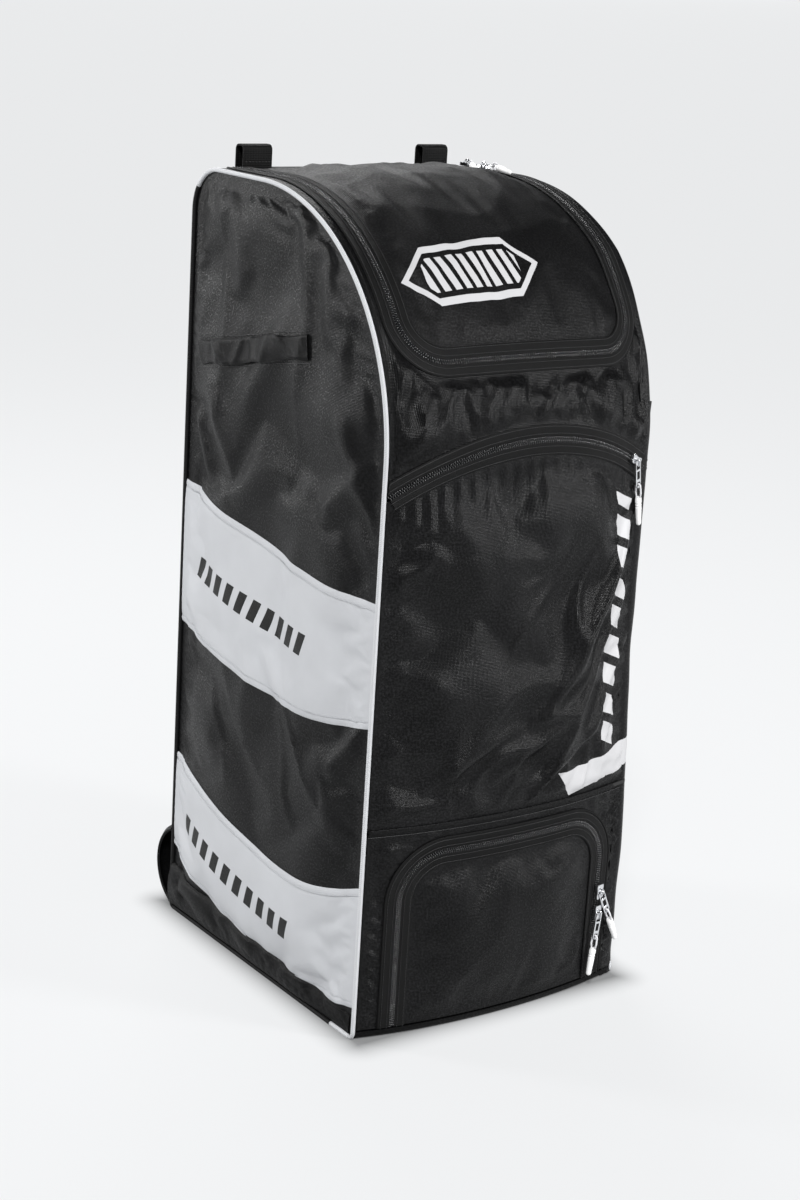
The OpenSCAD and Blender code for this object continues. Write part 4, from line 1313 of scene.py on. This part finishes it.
def spread(half, corner, pitch):  # places across, closer together round the corners
    flat_ = np.linspace(0, half - corner, max(2, int((half - corner) / pitch)))
    turn = np.radians(np.linspace(0, 90, max(4, int(corner * 1.57 / pitch))))[1:]
    right = np.concatenate([flat_, half - corner + corner * np.sin(turn)])
    return np.concatenate([-right[:0:-1], right])


def makeLid():
    half, corner = lid["half"] - bag["zipGap"], lid["corner"] - bag["zipGap"]
    xs = spread(half, corner, cloth["pitch"])
    low = 2 * lid["bottom"] + bag["zipGap"] * 2 - roundedTop(half, lid["bottom"] + bag["zipGap"], corner, xs)
    rows = int((hingeS - lid["bottom"]) / cloth["pitch"])
    share = np.linspace(0, 1, rows)[:, None]
    s = low[None] + (hingeS - 0.0006 - low[None]) * share
    x = xs[None].repeat(rows, 0)
    fromZip = np.minimum(half - np.abs(x), s - low[None])
    edge = np.minimum(np.maximum(fromZip - 0.010, 0), hingeS - s)
    ripple = 0.0009 * waves(x * 1.6, s * 0.5, 71, low=8, high=30)
    folds = foldsOf(x, s, [
        ((-0.120, 1.060), (-0.030, 0.930), 0.016, 0.0030),
        ((0.020, 1.040), (0.130, 0.960), 0.014, 0.0030),
        ((-0.060, 1.000), (0.060, 0.985), 0.012, 0.0022),
    ])
    swell = 0.0035 * smooth(edge / 0.06)
    ripple = ripple + 0.0022 * creases(x, s, 73, 20, 10, 3.0)
    puckers = gather(x, fromZip, 81, height=0.0010)
    settle = {"slack": 0.010, "pressure": 0.6, "bending": 1.2, "cap": 0.006}
    piece = frontPiece("lid_cloth", x, s, edge, ripple + folds + swell + puckers, **settle)
    thicken(piece)
    dress(piece, finishes["lid"], "lid", ["lid_panel"])


def makeFlap():
    half, corner = flap["half"] - bag["zipGap"], flap["corner"] - bag["zipGap"]
    xs = spread(half, corner, cloth["pitch"])
    high = roundedTop(half, flap["top"] - bag["zipGap"], corner, xs)
    rows = int(flap["top"] / cloth["pitch"])
    share = np.linspace(0, 1, rows)[:, None]
    s = flap["bottom"] + (high[None] - flap["bottom"]) * share
    x = xs[None].repeat(rows, 0)
    fromZip = np.minimum(half - np.abs(x), high[None] - s)
    edge = np.minimum(np.maximum(fromZip - 0.010, 0), s - flap["bottom"])
    streaks = 0.0010 * waves(x * 1.4, s * 0.25, 91, low=6, high=22)
    streaks = streaks + 0.0020 * creases(x, s, 93, 80, 12, 3.0)
    swell = 0.005 * smooth(edge / 0.05)
    settle = {"slack": 0.012, "pressure": 0.8, "bending": 1.2, "cap": 0.006}
    piece = frontPiece("base_flap_cloth", x, s, edge, streaks + swell, **settle)
    thicken(piece)
    dress(piece, finishes["shell"], "base_flap", ["base_flap"])


def makeSurround():
    gap = bag["zipGap"]
    inner = evenly(beside(flapPath(), -1, gap), cloth["pitch"])
    outer = np.zeros_like(inner)
    footX, cornerZ, top = flap["half"] - flap["corner"], flap["top"] - flap["corner"], seamZ - 0.001
    for k, (px, ps) in enumerate(inner):
        sign = 1 if px > 0 else -1
        if ps <= cornerZ + 1e-6:
            outer[k] = (sign * panelHalf, ps)
        elif abs(px) > footX:
            turn = math.degrees(math.atan2(ps - cornerZ, abs(px) - footX)) / 90
            if turn < 0.5:
                outer[k] = (sign * panelHalf, cornerZ + (top - cornerZ) * 2 * turn)
            else:
                outer[k] = (sign * (panelHalf - (panelHalf - footX) * (2 * turn - 1)), top)
        else:
            outer[k] = (px, top)
    rows = 12
    share = np.linspace(0, 1, rows)[:, None, None]
    grid = inner[None] * (1 - share) + outer[None] * share
    x, s = grid[..., 0], grid[..., 1]
    fromZip = np.linalg.norm(grid - inner[None], axis=-1)
    fromEdge = np.minimum(panelHalf - np.abs(x), top - s)
    edge = np.minimum.reduce([np.maximum(fromZip - 0.008, 0), fromEdge, s - flap["bottom"] + 0.004])
    puckers = gather(s + x * 0.2, panelHalf - np.abs(x), 101, wave=0.020, height=0.0034, reach=0.03)
    puckers = puckers + gather(x, top - s, 111, wave=0.028, height=0.0016)
    uneven = 0.0012 * waves(x, s, 121, low=8, high=26)
    settle = {"slack": 0.03, "pressure": 0.5, "bending": 0.6, "cap": 0.006}
    piece = frontPiece("lower_surround_cloth", x, s, edge, puckers + uneven, **settle)
    thicken(piece)
    dress(piece, finishes["shell"], "bag", ["lower_front_surround"])


makePocketFront()
makeYoke()
makeLid()
makeFlap()
makeSurround()
print("front ready")


def makeSeams():
    # the folded seam between the pocket and the lower compartment
    x = np.linspace(-panelHalf + 0.001, panelHalf - 0.001, 120)
    centres, ups = lineOnFront(np.stack([x, np.full_like(x, seamZ)], axis=1), 0.0006)
    piece = sweep("seam_fold", centres, np.cross(tangents(centres), ups), ups, roundBar(0.0052, 0.0022, 0.001))
    dress(piece, finishes["smooth"], "bag")
    line, normals = lineOnFront(np.stack([x, np.full_like(x, seamZ - 0.006)], axis=1), 0.0004)
    stitchLine("seam_stitches", line, normals, finishes["thread"], "bag", "shell_fabric")
    # the cord-like edge of the base flap's zip
    path = beside(flapPath(), -1, 0.0158)
    centres, ups = lineOnFront(path, 0.0008)
    piece = sweep("flap_edge_cord", centres, np.cross(tangents(centres), ups), ups, disc(0.0014, 8))
    dress(piece, finishes["binding"], "bag")
    # the fold line on which the lid turns
    x = np.linspace(-lid["half"] + 0.001, lid["half"] - 0.001, 60)
    centres = np.stack([x, np.full_like(x, hingeY + 0.0022), np.full_like(x, bag["height"] + 0.0002)], axis=1)
    ups = alike((0, 0, 1), 60)
    piece = sweep("lid_fold_binding", centres, alike((0, 1, 0), 60), ups, roundBar(0.0036, 0.0016, 0.0007))
    dress(piece, finishes["binding"], "bag")


def makeBack():
    # one cloth from the lid's fold, over the rear edge and down the back
    r = bag["rearRadius"]
    a0 = math.acos(min(1.0, (hingeY + 0.0005 - (backY - r)) / r))
    turn = np.linspace(a0, 0, 26)
    down = np.linspace(bag["height"] - r, 0.004, 170)[1:]
    y = np.concatenate([backY - r + r * np.cos(turn), np.full_like(down, backY)])
    z = np.concatenate([bag["height"] - r + r * np.sin(turn), down])
    ny = np.concatenate([np.cos(turn), np.ones_like(down)])
    nz = np.concatenate([np.sin(turn), np.zeros_like(down)])
    cols = 80
    xs = np.linspace(-panelHalf, panelHalf, cols)
    x = xs[None].repeat(len(y), 0)
    run = np.concatenate([[0], np.cumsum(np.hypot(np.diff(y), np.diff(z)))])[:, None].repeat(cols, 1)
    edge = np.minimum.reduce([panelHalf - np.abs(x), run, run[-1, 0] - run])
    out = (0.0009 * waves(x, run, 131, low=4, high=14) - 0.0012) * smooth(edge / 0.03)
    points = np.stack([x, y[:, None] + ny[:, None] * out, z[:, None] + nz[:, None] * out], axis=-1)
    piece = gridPiece("back_cloth", points, np.stack([x, run], axis=-1))
    thicken(piece)
    dress(piece, finishes["shell"], "bag", ["back_panel", "rear_top_panel"])


def makeBase():
    cols = 60
    x = np.linspace(-panelHalf, panelHalf, cols)
    front = onFront(x, np.full_like(x, 0.01))[:, 1]
    lip = np.array([0.0098, 0.007, 0.0042, 0.0018, 0.0004, 0.0])
    setIn = np.array([0.0, 0.0002, 0.0010, 0.0028, 0.0055, 0.010])
    rows = [np.stack([x, front + d, np.full_like(x, h)], axis=1) for h, d in zip(lip, setIn)]
    for share in np.linspace(0, 1, 30)[1:]:
        rows.append(np.stack([x, (front + 0.010) * (1 - share) + backY * share, np.zeros_like(x)], axis=1))
    points = np.stack(rows)
    run = runLength(points[:, 30])
    flat = np.stack([points[..., 0], run[:, None].repeat(cols, 1)], axis=-1)
    piece = gridPiece("base_cloth", points, flat)
    middle = points[20, 30] - points[19, 30]
    if np.cross(points[19, 31] - points[19, 30], middle)[2] > 0:
        piece.data.flip_normals()
    thicken(piece, 0.0025)
    dress(piece, finishes["heel"], "bag", ["base_panel"])


heel = {"wider": 0.009, "endRound": 0.014, "thickness": 0.003}


def makeHeel():
    low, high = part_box("heel_guard")
    low.x, high.x = low.x - heel["wider"], high.x + heel["wider"]
    out, tall = high.y - backY, high.z - low.z
    r = (out**2 + tall**2 / 4) / (2 * out)
    cy, cz = backY + out - r, low.z + tall / 2
    half = math.asin(min(1.0, tall / 2 / r))
    turn = np.linspace(half, -half, 40)
    cols = 90
    x = np.linspace(low.x, high.x, cols)[None].repeat(40, 0)
    edge = np.minimum(x - low.x, high.x - x)
    shrink = 0.006 * (1 - np.sqrt(np.clip(1 - (1 - np.clip(edge / heel["endRound"], 0, 1)) ** 2, 0, 1)))
    uneven = 0.0010 * waves(x, turn[:, None] * r, 141, low=6, high=18) * smooth(edge / 0.03)
    radius = r - shrink - 0.0006 + uneven
    y = np.maximum(cy + radius * np.cos(turn)[:, None], backY + 0.0004)
    z = np.maximum(cz + radius * np.sin(turn)[:, None], 0.0008)
    points = np.stack([x, y, z], axis=-1)
    piece = gridPiece("heel_cloth", points, np.stack([x, (turn * r)[:, None].repeat(cols, 1)], axis=-1))
    thicken(piece, heel["thickness"])
    dress(piece, finishes["heel"], "bag", ["heel_guard"])
    for number, share in enumerate((0.12, 0.88)):
        angle = half - 2 * half * share
        xs = np.linspace(low.x + 0.012, high.x - 0.012, 120)
        up = alike((0, math.cos(angle), math.sin(angle)), 120)
        line = np.stack([xs, np.full(120, cy + r * math.cos(angle)), np.full(120, cz + r * math.sin(angle))], axis=1)
        stitchLine(f"heel_stitches_{number}", line, up, finishes["thread"], "bag", "heel_fabric")


backPad = {"corner": 0.022, "round": 0.020, "channel": 0.030, "bars": (0.47, 0.56, 0.65), "groove": 0.005}


def makeBackPad():
    low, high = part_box("back_pad")
    cols, rows = 70, 120
    corner, groove = backPad["corner"], backPad["groove"]
    zs = np.linspace(low.z + 0.0005, high.z - 0.0005, rows)
    fromEnd = np.minimum(zs - low.z, high.z - zs)
    half = high.x - corner + np.sqrt(np.maximum(corner**2 - np.maximum(corner - fromEnd, 0) ** 2, 0))
    x = half[:, None] * np.linspace(-1, 1, cols)[None]
    z = zs[:, None].repeat(cols, 1)
    edge = np.minimum(half[:, None] - np.abs(x), fromEnd[:, None])
    crownUp = np.sqrt(np.clip(1 - (1 - np.clip(edge / backPad["round"], 0, 1)) ** 2, 0, 1))
    inside = smooth(edge / backPad["round"])
    channels = np.exp(-((np.abs(x) - backPad["channel"]) / groove) ** 2) * inside
    bars = sum(np.exp(-(((z - c) / groove) ** 2)) for c in backPad["bars"]) * inside
    thick = high.y - low.y
    y = backY + 0.0006 + (thick - 0.0006) * crownUp * (1 - 0.55 * channels) * (1 - 0.45 * bars)
    piece = gridPiece("back_pad_cloth", np.stack([x, y, z], axis=-1), np.stack([x, z], axis=-1), flip=True)
    thicken(piece, 0.0004)
    dress(piece, finishes["mesh"], "bag", ["back_pad"])


strap = {"footOut": 0.022, "footZ": 0.440, "headOut": -0.004, "headZ": 0.812, "bow": 0.052, "thickness": 0.0118}


def makeStrap(label):
    low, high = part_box(f"shoulder_strap_{label}")
    head = Vector((backY + strap["headOut"], strap["headZ"]))
    foot = Vector((backY + strap["footOut"], strap["footZ"]))
    bow, chord = strap["bow"], (foot - head).length / 2
    r = (chord**2 + bow**2) / (2 * bow)
    down = (foot - head).normalized()
    outward = Vector((-down.y, down.x))
    centre = (head + foot) / 2 + outward * (bow - r)
    half = math.asin(chord / r)
    count, middle = 110, (high.x + low.x) / 2
    line, ups = [], []
    for k in range(count):
        a = half * (2 * k / (count - 1) - 1)
        u = outward * math.cos(a) + down * math.sin(a)
        p = centre + u * r
        if p.x < backY + 0.0063:
            continue
        line.append((middle, p.x, p.y))
        ups.append((0, u.x, u.y))
    line, ups = np.array(line), np.array(ups)
    across = alike((1, 0, 0), len(line))
    turn = np.linspace(0, 2 * math.pi, 36, endpoint=False)
    width, thick = high.x - low.x, strap["thickness"]
    bulgeShape = np.stack(
        [
            np.sign(np.cos(turn)) * np.abs(np.cos(turn)) ** 0.55 * width / 2,
            np.sign(np.sin(turn)) * np.abs(np.sin(turn)) ** 0.75 * thick / 2,
        ],
        axis=1,
    )
    piece = sweep(f"strap_{label}_pad", line, across, ups, bulgeShape)
    dress(piece, finishes["mesh"], "bag", [f"shoulder_strap_{label}"])
    for number, place in enumerate((-1, 1)):
        edgeLine = line + across * place * (width / 2 - 0.0004)
        piece = sweep(f"strap_{label}_binding_{number}", edgeLine, across, ups, disc(0.0028, 12))
        dress(piece, finishes["binding"], "bag")


def makeWebbing(label):
    low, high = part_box(f"strap_webbing_{label}")
    buckleLow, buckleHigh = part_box(f"strap_buckle_{label}")
    t, y = 0.0022, (buckleLow.y + buckleHigh.y) / 2
    bar, flush = buckleLow.z, backY + 0.0003 + t / 2
    outer = (buckleHigh.y - buckleLow.y) / 2 + 0.0003 + t / 2
    points = [
        (y + outer, bar + 0.002), (y + outer, bar + 0.005 + t * 0.7), (y + outer * 0.5, bar + 0.0053 + t * 0.5),
        (y - outer * 0.5, bar + 0.0053 + t * 0.5), (y - outer, bar + 0.004 + t * 0.7), (y - outer, bar - 0.008),
        (flush + 0.001, low.z + 0.032), (flush, low.z + 0.026), (flush, low.z),
    ]
    line = evenly(np.array([((low.x + high.x) / 2, a, b) for a, b in points]), 0.003)
    along = tangents(line)
    across = alike((1, 0, 0), len(line))
    strip = roundBar(high.x - low.x, 0.0020, 0.0008, 3)
    piece = sweep(f"webbing_{label}_strip", line, across, np.cross(across, along), strip)
    dress(piece, finishes["webbing"], "bag", [f"strap_webbing_{label}"])


loops = {"thickness": 0.0022, "bend": 0.005}


def makeHangLoop(label):
    low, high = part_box(f"hang_loop_{label}")
    t, bend = loops["thickness"], loops["bend"]
    front, rear, top = low.y + t / 2, high.y - t / 2, high.z - t / 2
    points = [(front, bag["height"] - 0.002), (front, top - bend)]
    for k in range(1, 6):
        a = math.radians(180 - 90 * k / 5)
        points.append((front + bend + bend * math.cos(a), top - bend + bend * math.sin(a)))
    for k in range(6):
        a = math.radians(90 - 90 * k / 5)
        points.append((rear - bend + bend * math.cos(a), top - bend + bend * math.sin(a)))
    points.append((rear, low.z + 0.001))
    line = evenly(np.array([((low.x + high.x) / 2, a, b) for a, b in points]), 0.0015)
    along = tangents(line)
    across = alike((1, 0, 0), len(line))
    strip = roundBar(high.x - low.x, t, 0.0009, 3)
    piece = sweep(f"hang_loop_{label}_webbing", line, across, np.cross(across, along), strip)
    dress(piece, finishes["webbing"], "bag", [f"hang_loop_{label}"])
    xs = np.linspace(low.x + 0.004, high.x - 0.004, 30)
    seat = np.stack([xs, np.full(30, front - t / 2), np.full(30, bag["height"] + 0.006)], axis=1)
    stitchLine(f"hang_loop_{label}_stitches", seat, alike((0, -1, 0), 30), finishes["thread"], "bag", "webbing")


makeSeams()
makeBack()
makeBase()
makeHeel()
makeBackPad()
for label in ("left", "right"):
    makeStrap(label)
    makeWebbing(label)
    makeHangLoop(label)
print("back ready")


def makeBuckle(label):
    low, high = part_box(f"strap_buckle_{label}")
    size = high - low
    middle = (low + high) / 2
    bpy.ops.object.select_all(action="DESELECT")
    bpy.ops.mesh.primitive_cube_add(size=1, location=middle)
    piece = bpy.context.object
    piece.name = f"buckle_{label}_frame"
    piece.scale = size
    bpy.ops.object.transform_apply(location=True, rotation=False, scale=True)
    bar, slot = 0.005, (size.z - 0.015) / 2
    for z in (bar / 2, -bar / 2 - slot):
        bpy.ops.mesh.primitive_cube_add(size=1, location=middle + Vector((0, 0, z + slot / 2)))
        cutter = bpy.context.object
        cutter.scale = (size.x - 0.010, size.y * 3, slot)
        bpy.ops.object.transform_apply(location=True, rotation=False, scale=True)
        modify(piece, "BOOLEAN", object=cutter, operation="DIFFERENCE")
        bpy.data.objects.remove(cutter)
    modify(piece, "BEVEL", width=0.0011, segments=3, limit_method="ANGLE")
    shadeSmooth(piece, 40)
    dress(piece, finishes["plastic"], "bag", [f"strap_buckle_{label}"])


for label in ("left", "right"):
    makeBuckle(label)


def pullFrame(place, along):
    x, s = place
    o = onFront(x, s)
    n = frontNormal(np.float64(x), np.float64(s))
    t = np.array(along, float)
    t = t - n * (t @ n)
    t /= np.linalg.norm(t)
    w = np.cross(n, t)
    return Matrix(((t[0], w[0], n[0], o[0]), (t[1], w[1], n[1], o[1]), (t[2], w[2], n[2], o[2]), (0, 0, 0, 1)))


def atY(y):
    return arcEnd + y - (frontY + topRadius)


def pullFrames():
    x = pull["pocketX"]
    tangent = onFront(x + 0.001, arch(x + 0.001)) - onFront(x - 0.001, arch(x - 0.001))
    return {
        "lid_front": pullFrame((lid["half"], atY(hingeY - pull["lidFront"])), (0, -1, 0)),
        "lid_rear": pullFrame((lid["half"], atY(hingeY - pull["lidRear"])), (0, -1, 0)),
        "pocket": pullFrame((x, float(arch(x))), tangent),
        "flap_upper": pullFrame((flap["half"], pull["flapUpper"]), (0, 0, -1)),
        "flap_lower": pullFrame((flap["half"], pull["flapLower"]), (0, 0, -1)),
    }


def boxPart(size, place):
    bpy.ops.object.select_all(action="DESELECT")
    bpy.ops.mesh.primitive_cube_add(size=1, location=place)
    part = bpy.context.object
    part.scale = size
    bpy.ops.object.transform_apply(location=True, rotation=False, scale=True)
    return part


def joined(parts, name):
    bpy.ops.object.select_all(action="DESELECT")
    for part in parts:
        part.select_set(True)
    bpy.context.view_layer.objects.active = parts[0]
    bpy.ops.object.join()
    parts[0].name = name
    return parts[0]


def narrowWaist(part, length, waist):
    bpy.ops.object.mode_set(mode="EDIT")
    bpy.ops.mesh.select_all(action="SELECT")
    bpy.ops.mesh.subdivide(number_cuts=4)
    bpy.ops.object.mode_set(mode="OBJECT")
    for v in part.data.vertices:
        t = abs(v.co.x) / (length / 2)
        v.co.y *= waist + (1 - waist) * min(1, t * 1.1) - 0.42 * max(0, t - 0.75) * 2
    return part


def sliderShape():
    size = {"length": 0.018, "width": 0.012, "height": 0.0042, "middle": 0.0050, "waist": 0.70}
    body = boxPart((size["length"], size["width"], size["height"]), (0, 0, size["middle"]))
    narrowWaist(body, size["length"], size["waist"])
    modify(body, "BEVEL", width=0.0007, segments=2, limit_method="ANGLE")
    line = []
    for k in range(25):
        a = math.pi * k / 24
        line.append((-0.0032 * math.cos(a) * (1 + 0.15 * math.sin(a)), 0, 0.0066 + 0.0040 * math.sin(a) ** 0.6))
    line = np.array(line)
    along = tangents(line)
    across = alike((0, 1, 0), len(line))
    bail = sweep("bail", line, across, np.cross(along, across), roundBar(0.0017, 0.0014, 0.0005, 2))
    return joined([body, bail], "slider_shape")


def tabShape():
    width, thick, length = 0.0096, 0.0014, pull["tabLength"]
    side_ = width / 2
    shape = [(-0.0003, side_), (length - 0.004, side_), (length - 0.001, side_ - 0.0012), (length, side_ - 0.003)]
    shape += [(a, -b) for a, b in shape[::-1]]
    mesh = bpy.data.meshes.new("tab_shape")
    mesh.from_pydata([(a, b, -thick / 2) for a, b in shape], [], [tuple(range(len(shape)))])
    part = bpy.data.objects.new("tab_shape", mesh)
    bpy.context.scene.collection.objects.link(part)
    only(part)
    bpy.ops.object.mode_set(mode="EDIT")
    bpy.ops.mesh.select_all(action="SELECT")
    bpy.ops.mesh.extrude_region_move(TRANSFORM_OT_translate={"value": (0, 0, thick)})
    bpy.ops.mesh.select_all(action="SELECT")
    bpy.ops.mesh.normals_make_consistent(inside=False)
    bpy.ops.object.mode_set(mode="OBJECT")
    cuts = [
        boxPart((0.0094, width - 0.0024, 0.01), (0.0007 + 0.0047, 0, 0)),
        boxPart((0.0085, width - 0.0044, 0.01), (0.0170, 0, 0)),
        boxPart((0.004, width - 0.0032, 0.01), (length - pull["rim"] - 0.002, 0, 0)),
    ]
    for cut in cuts:
        modify(part, "BOOLEAN", object=cut, operation="DIFFERENCE")
        bpy.data.objects.remove(cut)
    modify(part, "BEVEL", width=0.00035, segments=2, limit_method="ANGLE")
    return part


def gripShapes():
    loopRadius, legs = 0.0032, 0.014
    line = [(legs, 0, -loopRadius * 0.7), (legs * 0.5, 0, -loopRadius * 1.15)]
    for k in range(17):
        a = math.radians(-90 - 180 * k / 16)
        line.append((loopRadius * math.cos(a), 0, loopRadius * math.sin(a)))
    line += [(legs * 0.5, 0, loopRadius * 1.15), (legs, 0, loopRadius * 0.7)]
    line = np.array(line)
    along = tangents(line)
    across = alike((0, 1, 0), len(line))
    loop = sweep("loop_shape", line, across, np.cross(along, across), disc(0.0011, 10))
    # distance along the grip, and its radius there
    stations = [
        (0.0118, 0.0016), (0.0120, 0.0030), (0.0128, 0.0038), (0.0150, 0.0043), (0.0185, 0.0043), (0.0192, 0.0037),
        (0.0200, 0.0037), (0.0207, 0.0042), (0.0216, 0.0042), (0.0223, 0.0036), (0.0231, 0.0036), (0.0238, 0.0041),
        (0.0300, 0.0039), (0.0380, 0.0035), (0.0425, 0.0034), (0.0442, 0.0028), (0.0451, 0.0016), (0.0453, 0.0004),
    ]
    ring = np.linspace(0, 2 * math.pi, 24, endpoint=False)
    points = [(a, r * math.cos(k), 0.86 * r * math.sin(k)) for a, r in stations for k in ring]
    faces = gridFaces(len(stations), 24, around=True)
    faces += [tuple(range(24)), tuple(range(len(points) - 1, len(points) - 25, -1))]
    return loop, recalculate(makeMesh("grip_shape", points, faces))


def placed(shape, name, matrix):
    mesh = shape.data.copy()
    mesh.transform(matrix)
    piece = bpy.data.objects.new(name, mesh)
    bpy.context.scene.collection.objects.link(piece)
    return piece


def makePulls():
    slider, tab = sliderShape(), tabShape()
    loop, grip = gripShapes()
    for part in (slider, tab, grip):
        shadeSmooth(part, 35)
    for name, base in pullFrames().items():
        swing = Matrix.Rotation(math.radians(pull["turns"][name]), 4, "Z")
        hang = Matrix.Rotation(math.radians(pull["droop"] if name.startswith("lid") else 0), 4, "Y")
        turned = base @ Matrix.Translation((0, 0, pull["pivot"])) @ swing
        end = turned @ Matrix.Translation((pull["tabLength"] - pull["rim"] / 2, 0, 0)) @ hang
        for shape, title, matrix, material, body, stands, slot in (
            (slider, "slider_metal", base, "metal", "slider", True, "slider_metal"),
            (tab, "tab_metal", turned, "metal", "tab", True, "slider_metal"),
            (loop, "loop", end, "cord", "grip", False, "grip_rubber"),
            (grip, "grip_mould", end, "grip", "grip", True, "grip_rubber"),
        ):
            piece = placed(shape, f"{name}_{title}", matrix)
            node = f"{name}_{body}"
            dress(piece, finishes[material], node, [node] if stands else [])
    for part in (slider, tab, loop, grip):
        bpy.data.objects.remove(part)


makePulls()
print("pulls ready")


# pieces kept as they come

asTheyCome = {"base_board": "board", "back_board": "board", "pocket_inner_wall": "lining", "divider_shelf": "lining"}
for name, material in asTheyCome.items():
    node = frame["nodes"][name]
    node.data.materials.clear()
    node.data.materials.append(finishes[material])
